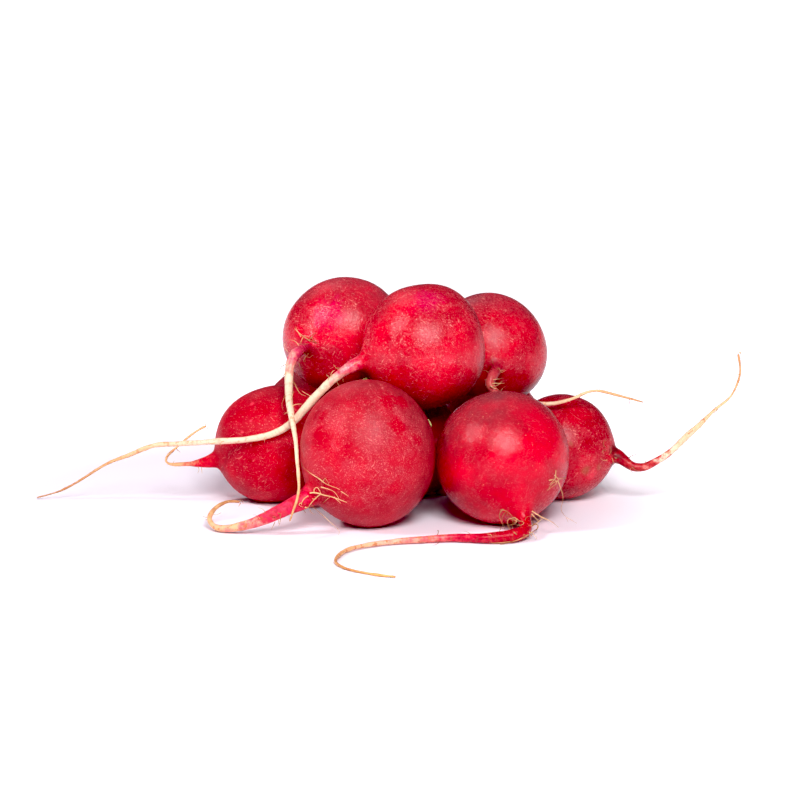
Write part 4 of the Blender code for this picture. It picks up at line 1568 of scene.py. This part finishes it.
RADISHES = [
    Radish(
        name="radish_top_left",
        centre=(-18.1, 50.4, 49.3),
        across=36.2,
        crown_reach=17.6,
        root_reach=17.6,
        neck_reach=20.8,
        neck_thickness=3.5,
        aim=(-0.52, -0.85, -0.04),
        stretch=(((0.88, 0.0, 0.47), 1.08),),
        route=[
            (-31.7, 26.6, 47.8, 3.4),
            (-33.2, 25.0, 45.8, 3.3),
            (-33.8, 23.6, 43.6, 2.8),
            (-34.0, 22.2, 41.1, 2.7),
            (-34.0, 20.6, 38.6, 2.5),
            (-33.9, 17.2, 36.4, 2.4),
            (-33.4, 12.6, 34.1, 2.1),
            (-32.9, 8.6, 31.9, 1.9),
            (-32.1, 5.6, 29.2, 1.7),
            (-31.5, 2.4, 26.7, 1.4),
            (-31.0, -2.0, 24.4, 1.3),
            (-30.8, -4.2, 21.7, 1.1),
            (-30.4, -6.4, 19.0, 1.0),
            (-30.0, -9.6, 16.1, 1.0),
            (-29.9, -13.2, 13.5, 0.8),
            (-30.5, -16.8, 10.9, 0.7),
            (-31.3, -19.2, 9.0, 0.6),
            (-32.4, -21.0, 5.8, 0.6),
        ],
        finish=SkinFinish(
            gloss=Gloss.WAXY,
            bright=seen(204, 8, 42),
            patches=(Patch((-21.7, 36.0, 58.9), size=6.0, colour=BLUSH, share=0.3),),
            # painted shade and hazy reflection towards the crown
            crown_shade=seen(138, 70, 76),
            crown_shading=0.6,
            crown_shade_span=(-40.0, -12.0),
            scratches=0.8,
            seed=1,
            fade=(
                (0.0, seen(162, 22, 56)), (7.0, seen(202, 60, 96)), (11.0, PINK), (15.0, CREAM),
                (48.0, CREAM), (62.0, TAN), (76.0, BROWN),
            ),
        ),
        tufts=EXTRA_TUFTS,
        hairs=TOP_LEFT_HAIRS,
    ),
    Radish(
        name="radish_top_middle",
        centre=(7.0, 21.8, 50.5),
        across=37.8,
        crown_reach=17.8,
        crown_fullness=2.5,
        root_reach=18.6,
        neck_reach=22.4,
        neck_thickness=4.3,
        aim=(-0.90, -0.37, -0.17),
        stretch=(((0.1, -0.35, -0.93), 1.014),),
        crown=(0.66, 0.70, 0.20),
        route=[
            (-16.8, 11.8, 44.9, 3.2),
            (-18.9, 11.1, 43.3, 2.8),
            (-21.2, 10.4, 41.6, 2.7),
            (-26.1, 9.6, 36.7, 2.6),
            (-30.0, 11.4, 31.8, 2.5),
            (-32.5, 12.8, 29.0, 2.4),
            (-34.8, 13.2, 27.1, 2.3),
            (-37.8, 13.6, 25.4, 2.1),
            (-40.9, 13.8, 24.3, 2.0),
            (-43.9, 14.2, 23.6, 1.9),
            (-48.5, 15.0, 22.8, 1.8),
            (-56.6, 18.0, 21.8, 1.8),
            (-61.3, 20.0, 21.0, 1.7),
            (-68.9, 22.4, 20.1, 1.6),
            (-76.1, 24.4, 19.2, 1.5),
            (-84.1, 27.4, 15.4, 1.3),
            (-90.9, 29.6, 12.4, 0.8),
            (-98.1, 32.0, 7.5, 0.7),
            (-105.7, 33.4, 2.9, 0.6),
            (-113.7, 33.4, 0.6, 0.6),
        ],
        finish=SkinFinish(
            gloss=Gloss.WAXY,
            patches=(
                Patch((8.1, 12.3, 66.8), size=6.5, colour=BLUSH, share=0.28),
                Patch((14.4, 4.6, 48.9), size=2.6, colour=WORN, share=0.45),
            ),
            # painted shade and hazy reflection towards the crown
            crown_shading=0.4,
            dustiness=0.36,
            scratches=0.85,
            seed=2,
            fade=(
                (0.0, MAGENTA), (4.0, seen(236, 110, 120)), (10.0, CREAM), (60.0, CREAM), (85.0, TAN),
                (110.0, BROWN), (140.0, BROWN),
            ),
        ),
        tufts=EXTRA_TUFTS,
        hairs=TOP_MIDDLE_HAIRS,
    ),
    Radish(
        name="radish_top_right",
        centre=(29.1, 50.8, 45.0),
        across=33.4,
        crown_reach=16.9,
        root_reach=16.9,
        neck_reach=18.8,
        neck_thickness=3.4,
        aim=(0.02, -0.98, -0.18),
        stretch=(((0.66, 0.0, -0.75), 1.09),),
        route=[
            (28.5, 28.0, 40.6, 3.4),
            (27.7, 26.8, 39.2, 3.3),
            (27.7, 25.8, 37.8, 3.0),
            (28.8, 25.0, 36.3, 2.5),
            (32.3, 24.6, 34.0, 1.8),
            (38.5, 25.2, 32.5, 1.4),
            (46.2, 25.2, 32.1, 1.1),
            (48.4, 24.8, 32.5, 1.1),
            (52.2, 24.4, 33.5, 1.0),
            (54.5, 24.4, 34.5, 0.9),
            (57.2, 24.8, 35.8, 0.8),
            (59.9, 25.4, 36.3, 0.7),
            (62.3, 26.0, 35.9, 0.7),
            (65.4, 26.8, 34.9, 0.7),
            (70.2, 28.0, 33.4, 0.6),
            (75.4, 29.5, 31.7, 0.6),
        ],
        finish=SkinFinish(
            gloss=Gloss.SATIN,
            # painted shade and hazy reflection towards the crown
            crown_shade=seen(112, 60, 68),
            crown_shading=0.8,
            crown_shade_span=(-40.0, -12.0),
            scratches=0.8,
            seed=3,
            fade=(
                (0.0, seen(160, 34, 52)), (7.0, seen(186, 66, 72)), (14.0, seen(204, 96, 88)),
                (20.0, CREAM), (45.0, TAN), (70.0, BROWN),
            ),
        ),
        tufts=EXTRA_TUFTS,
        hairs=TOP_RIGHT_HAIRS,
    ),
    Radish(
        name="radish_front_left",
        centre=(-9.6, 0.0, 22.0),
        across=41.0,
        crown_reach=20.4,
        root_reach=20.4,
        neck_reach=23.0,
        neck_thickness=6.0,
        aim=(-0.77, -0.45, -0.45),
        stretch=(((0.0, 0.0, 1.0), 1.07), ((0.0, 1.0, 0.0), 0.97), ((-0.31, -0.2, 0.93), 1.03)),
        crown=(0.84, 0.40, 0.34),
        route=[
            (-28.9, -12.2, 10.7, 5.2),
            (-32.4, -13.0, 8.8, 4.6),
            (-36.6, -13.4, 6.6, 4.1),
            (-40.7, -13.2, 4.6, 3.5),
            (-46.0, -12.4, 2.7, 2.7),
            (-50.5, -11.6, 1.6, 2.3),
            (-53.8, -10.6, 1.4, 2.0),
            (-55.8, -9.0, 1.7, 1.7),
            (-56.9, -7.0, 2.8, 1.6),
            (-57.0, -4.6, 4.0, 1.4),
            (-55.5, -2.0, 5.6, 1.2),
            (-53.5, 0.0, 6.5, 1.0),
            (-51.5, 1.6, 6.9, 0.9),
            (-48.1, 3.0, 6.3, 0.7),
        ],
        finish=SkinFinish(
            gloss=Gloss.DUSTY,
            bright=seen(184, 4, 32),
            deep=seen(162, 4, 28),
            patches=(
                Patch((-22.7, -13.7, 29.8), size=4.4, colour=FRESH, share=0.85),
                Patch((-22.4, -9.7, 35.9), size=2.4, colour=FRESH),
                Patch((-12.9, -15.2, 36.1), size=3.0, colour=FRESH),
                Patch((-0.6, -14.6, 33.3), size=3.7, colour=FRESH, share=0.85),
                Patch((-3.8, -10.9, 39.7), size=3.2, colour=FRESH),
                Patch((0.6, -8.3, 38.9), size=3.0, colour=FRESH),
                Patch((-13.8, -19.2, 25.8), size=3.0, colour=FRESH, share=0.6),
                Patch((-10.0, -15.1, 7.7), size=2.4, colour=FRESH),
                Patch((5.3, -12.0, 28.5), size=3.0, colour=FRESH, share=0.6),
            ),
            dust=seen(174, 52, 64),
            dustiness=0.55,
            scratches=0.5,
            speckled=0.2,
            mottled=0.9,
            seed=4,
            fade=(
                (0.0, CRIMSON), (5.0, MAGENTA), (16.0, seen(216, 44, 74)), (22.0, PINK),
                (29.0, seen(238, 176, 136)), (36.0, TAN), (46.0, BROWN), (60.0, TAN),
            ),
        ),
        stalks=Stalks(count=4, length=2.1),
        tufts=EXTRA_TUFTS,
        hairs=FRONT_LEFT_HAIRS,
    ),
    Radish(
        name="radish_front_right",
        centre=(30.7, 4.4, 19.9),
        across=40.8,
        crown_reach=19.8,
        root_reach=20.4,
        neck_reach=25.4,
        neck_thickness=3.5,
        aim=(0.256, -0.724, -0.641),
        route=[
            (37.3, -17.2, 3.0, 3.5),
            (36.0, -20.2, 2.4, 3.9),
            (33.6, -22.2, 2.0, 4.0),
            (30.4, -23.2, 1.8, 3.8),
            (27.6, -23.9, 1.7, 3.3),
            (23.4, -24.0, 1.6, 2.8),
            (15.8, -22.2, 1.4, 2.3),
            (4.4, -24.3, 1.2, 1.8),
            (-0.3, -25.1, 1.1, 1.6),
            (-7.3, -28.2, 1.0, 1.5),
            (-13.6, -32.6, 0.9, 1.3),
            (-17.0, -38.8, 0.8, 1.2),
            (-18.5, -47.3, 0.7, 0.9),
            (-16.7, -53.2, 0.6, 0.8),
            (-13.2, -57.3, 0.5, 0.7),
            (-6.7, -62.0, 0.5, 0.7),
            (-1.1, -64.6, 0.5, 0.6),
        ],
        finish=SkinFinish(
            gloss=Gloss.WAXY,
            # painted shade and hazy reflection towards the crown
            crown_shade=seen(118, 58, 62),
            crown_shading=0.85,
            dustiness=0.16,
            scratches=0.3,
            speckled=0.8,
            mottled=0.9,
            seed=5,
            fade=(
                (0.0, seen(186, 6, 34)), (18.0, seen(164, 4, 34)), (28.0, seen(196, 30, 60)),
                (38.0, seen(226, 116, 112)), (48.0, seen(236, 180, 150)), (64.0, TAN),
                (85.0, seen(196, 136, 78)), (105.0, seen(226, 172, 100)),
            ),
        ),
        tufts=EXTRA_TUFTS,
        hairs=FRONT_RIGHT_HAIRS,
    ),
    Radish(
        name="radish_right",
        centre=(50.4, 36.2, 16.3),
        across=33.1,
        crown_reach=16.6,
        root_reach=16.6,
        neck_reach=18.6,
        neck_thickness=4.4,
        aim=(0.93, -0.32, -0.10),
        route=[
            (70.2, 29.6, 12.7, 3.3),
            (72.6, 28.8, 11.4, 2.8),
            (75.4, 28.4, 11.4, 2.5),
            (78.1, 28.0, 12.7, 2.3),
            (83.8, 27.4, 16.6, 1.9),
            (88.9, 26.8, 22.0, 1.9),
            (93.4, 26.2, 26.2, 1.4),
            (95.4, 26.0, 28.8, 1.0),
            (98.8, 26.0, 31.6, 0.7),
            (101.9, 26.0, 34.2, 0.6),
            (104.2, 26.0, 39.5, 0.6),
            (104.6, 26.0, 42.8, 0.6),
            (103.7, 26.0, 47.8, 0.6),
        ],
        finish=SkinFinish(
            gloss=Gloss.SATIN,
            bright=seen(184, 2, 32),
            deep=seen(156, 2, 26),
            scratches=0.85,
            patches=(
                Patch((57.2, 21.7, 12.0), size=2.3, colour=SCAR, share=0.6),
                Patch((59.2, 23.4, 10.4), size=2.3, colour=WORN, share=0.6),
                Patch((61.4, 24.5, 12.1), size=1.2, colour=SCAR, share=0.5),
                Patch((52.5, 20.5, 20.8), size=1.2, colour=SCAR, share=0.5),
            ),
            mottled=0.7,
            joint=0.85,
            seed=6,
            fade=(
                (0.0, seen(146, 10, 28)), (6.0, seen(166, 30, 38)), (11.0, seen(180, 60, 58)),
                (14.0, PINK), (17.0, CREAM), (40.0, TAN), (60.0, BROWN),
            ),
        ),
        tufts=EXTRA_TUFTS,
        hairs=RIGHT_HAIRS,
    ),
    Radish(
        name="radish_left",
        centre=(-37.6, 34.4, 17.8),
        across=36.2,
        crown_reach=18.8,
        root_reach=19.8,
        root_fullness=2.25,
        neck_reach=21.8,
        neck_thickness=4.5,
        aim=(-0.95, -0.24, -0.20),
        stretch=(((0.0, 1.0, 0.0), 1.04),),
        route=[
            (-59.9, 28.4, 13.2, 3.5),
            (-61.6, 27.8, 13.0, 2.8),
            (-63.6, 27.4, 12.8, 1.8),
            (-65.8, 27.4, 12.7, 1.4),
            (-69.6, 27.8, 12.4, 1.1),
            (-72.5, 28.4, 12.5, 0.9),
            (-73.3, 29.0, 13.3, 0.9),
            (-71.8, 29.6, 15.3, 0.8),
            (-69.6, 30.2, 17.2, 0.7),
            (-65.7, 31.0, 20.5, 0.6),
            (-62.2, 31.6, 22.9, 0.6),
            (-60.1, 32.0, 23.8, 0.6),
        ],
        finish=SkinFinish(
            gloss=Gloss.DUSTY,
            bright=seen(186, 4, 30),
            deep=seen(164, 2, 26),
            dustiness=0.25,
            patches=(
                Patch((-47.5, 22.2, 28.9), size=6.5, colour=FRESH, share=0.6),
                Patch((-42.3, 22.6, 31.3), size=3.2, colour=FRESH, share=0.5),
                Patch((-45.8, 16.4, 16.0), size=1.1, colour=seen(150, 0, 14), share=0.9),
                Patch((-45.5, 25.3, 32.0), size=0.9, colour=WORN),
                Patch((-38.5, 16.9, 24.6), size=1.1, colour=SCAR),
                Patch((-45.6, 20.0, 27.8), size=0.7, colour=WORN),
                Patch((-48.4, 19.2, 24.5), size=0.7, colour=WORN),
            ),
            scratches=0.5,
            speckled=0.3,
            shine=0.12,
            seed=7,
            fade=(
                (0.0, seen(204, 14, 44)), (5.0, seen(210, 34, 54)), (9.0, seen(232, 150, 116)),
                (13.0, TAN), (35.0, TAN),
            ),
        ),
        stalks=Stalks(length=2.2),
        tufts=(Tuft(low=0.0, high=5.0, count=4, length=2.2), Tuft(low=6.0, high=40.0, count=5, length=1.8)),
    ),
    Radish(
        name="radish_rear_left",
        centre=(-27.0, 70.6, 17.7),
        across=36.0,
        crown_reach=17.2,
        root_reach=17.4,
        neck_reach=20.0,
        neck_thickness=4.2,
        aim=(-0.42, 0.78, -0.46),
        route=[
            (-37.6, 88.6, 5.6, 3.2),
            (-39.6, 93.2, 3.2, 2.6),
            (-40.2, 98.2, 1.8, 2.2),
            (-37.6, 103.8, 1.2, 1.8),
            (-32.4, 107.6, 1.0, 1.5),
            (-25.8, 109.0, 0.9, 1.2),
            (-19.8, 107.2, 0.8, 1.0),
            (-15.0, 103.6, 0.7, 0.8),
            (-11.4, 99.2, 0.7, 0.6),
        ],
        finish=SkinFinish(gloss=Gloss.DUSTY, seed=8),
        tufts=UNSEEN_TUFTS,
    ),
    Radish(
        name="radish_inner",
        centre=(1.6, 38.8, 17.9),
        across=34.2,
        crown_reach=19.4,
        root_reach=18.2,
        neck_reach=19.6,
        neck_thickness=3.6,
        aim=(0.56, 0.06, -0.83),
        route=[
            (15.5, 39.8, 1.35, 3.1),
            (19.5, 39.6, 1.1, 2.5),
            (23.6, 37.2, 1.3, 2.0),
            (26.8, 33.4, 1.1, 1.6),
            (29.8, 30.6, 1.0, 1.2),
            (33.4, 30.6, 0.8, 0.9),
            (36.2, 32.8, 0.7, 0.6),
        ],
        # Its reds are darker than the other radishes': painted shade for the deep gap between the bulbs
        # where it lies
        finish=SkinFinish(gloss=Gloss.DUSTY, bright=seen(142, 2, 22), deep=seen(114, 2, 16), seed=9),
        stalks=Stalks(length=6.2),
        tufts=UNSEEN_TUFTS,
    ),
    Radish(
        name="radish_rear_right",
        centre=(29.4, 69.8, 16.4),
        across=33.4,
        crown_reach=16.4,
        root_reach=16.4,
        neck_reach=18.8,
        neck_thickness=3.8,
        aim=(0.50, 0.80, -0.34),
        route=[
            (39.8, 86.4, 7.2, 2.9),
            (42.6, 90.6, 4.6, 2.4),
            (46.4, 94.8, 2.4, 2.0),
            (52.0, 98.2, 1.3, 1.6),
            (58.8, 99.4, 1.0, 1.3),
            (65.2, 97.8, 0.8, 1.0),
            (70.2, 94.0, 0.7, 0.8),
            (73.0, 89.2, 0.7, 0.6),
        ],
        finish=SkinFinish(gloss=Gloss.SATIN, seed=10),
        tufts=UNSEEN_TUFTS,
    ),
]


@dataclass(frozen=True)
class Softbox:
    """A square studio light that faces the heap, in metres and watts."""

    name: str
    place: Point
    size: float
    power: float
    aim: Point = (0.0, 0.0, 0.03)

    def make(self) -> None:
        """Adds the light, turned to the heap."""
        towards = Vector(self.aim) - Vector(self.place)
        turn = towards.to_track_quat("-Z", "Y").to_euler()
        bpy.ops.object.light_add(type="AREA", location=self.place, rotation=turn)
        light = bpy.context.object
        light.name = self.name
        light.data.shape = "SQUARE"
        light.data.size = self.size
        light.data.energy = self.power


@dataclass(frozen=True)
class Glow:
    """A rise of the surface's own light, between two distances in metres, and its share of the whole."""

    starts: float
    ends: float
    share: float


@dataclass(frozen=True)
class Surface:
    """The white surface that the heap lies on, which glows away from it as a lit backdrop does."""

    across: float = 24.0
    colour: Colour = (0.90, 0.84, 0.93)
    roughness: float = 0.9
    shine: float = 0.1
    shift: Point = (0.032, 0.0, 0.0)
    near: Glow = Glow(0.08, 0.14, 0.4)
    far: Glow = Glow(0.25, 1.1, 0.6)
    strength: float = 1.25

    def make(self) -> None:
        """Adds the surface."""
        deselected()
        bpy.ops.mesh.primitive_plane_add(size=self.across, location=(0.0, 0.0, 0.0))
        floor = bpy.context.object
        floor.name = "surface"
        dressed(floor, self.material())

    def material(self) -> bpy.types.Material:
        """Builds the finish.

        Returns:
            The material.
        """
        recipe = Recipe("white_surface")
        place = recipe.add("TexCoord", output="Object")
        moved = recipe.add("VectorMath", {"operation": "ADD"}, {0: place, 1: self.shift})
        away = recipe.add("VectorMath", {"operation": "LENGTH"}, {0: moved}, output="Value")
        near, far = (away.between(glow.starts, glow.ends) * glow.share for glow in (self.near, self.far))
        return recipe.finish(
            Base_Color=self.colour,
            Roughness=self.roughness,
            Specular_IOR_Level=self.shine,
            Emission_Color=recipe.blend(near + far, (0.0, 0.0, 0.0), (1.0, 1.0, 1.0)),
            Emission_Strength=self.strength,
        )


@dataclass(frozen=True)
class Studio:
    """The surface, the lights and the even white surroundings."""

    surround: float = 0.14
    surround_colour: Colour = (0.94, 0.89, 1.0)
    sun: float = 0.08
    sun_turn: Point = (math.radians(-22), math.radians(-24), 0.0)
    sun_spread: float = math.radians(70.0)
    black_level: Colour = (0.014, 0.024, 0.018)
    surface: Surface = Surface()
    boxes: tuple[Softbox, ...] = (
        Softbox("softbox_front", (0.115, -0.76, 0.60), size=0.38, power=11.4),
        Softbox("softbox_left", (-0.60, -0.27, 0.60), size=0.10, power=3.6),
        Softbox("softbox_back", (-0.34, 0.56, 0.72), size=0.50, power=0.7),
    )

    def make(self) -> None:
        """Adds the surroundings, the surface and every light."""
        scene = bpy.context.scene
        scene.view_settings.view_transform = "Standard"
        scene.view_settings.use_curve_mapping = True
        scene.view_settings.curve_mapping.black_level = self.black_level
        world = scene.world or bpy.data.worlds.new("surroundings")
        scene.world = world
        world.use_nodes = True
        background = world.node_tree.nodes["Background"]
        background.inputs["Color"].default_value = (*self.surround_colour, 1.0)
        background.inputs["Strength"].default_value = self.surround
        self.surface.make()
        bpy.ops.object.light_add(type="SUN", rotation=self.sun_turn)
        sun = bpy.context.object
        sun.name = "high_light"
        sun.data.energy = self.sun
        sun.data.angle = self.sun_spread
        for box in self.boxes:
            box.make()


def main() -> None:
    """Builds the heap, its surroundings and its camera."""
    logging.basicConfig(level=logging.INFO, format="%(message)s", stream=sys.stdout)
    sight = Sight()
    sight.make()
    hair_finish = HairFinish().material()
    stalk_finish = StalkFinish().material()
    for radish in RADISHES:
        radish.build(sight, hair_finish, stalk_finish)
    Studio().make()


if __name__ == "__main__":
    main()
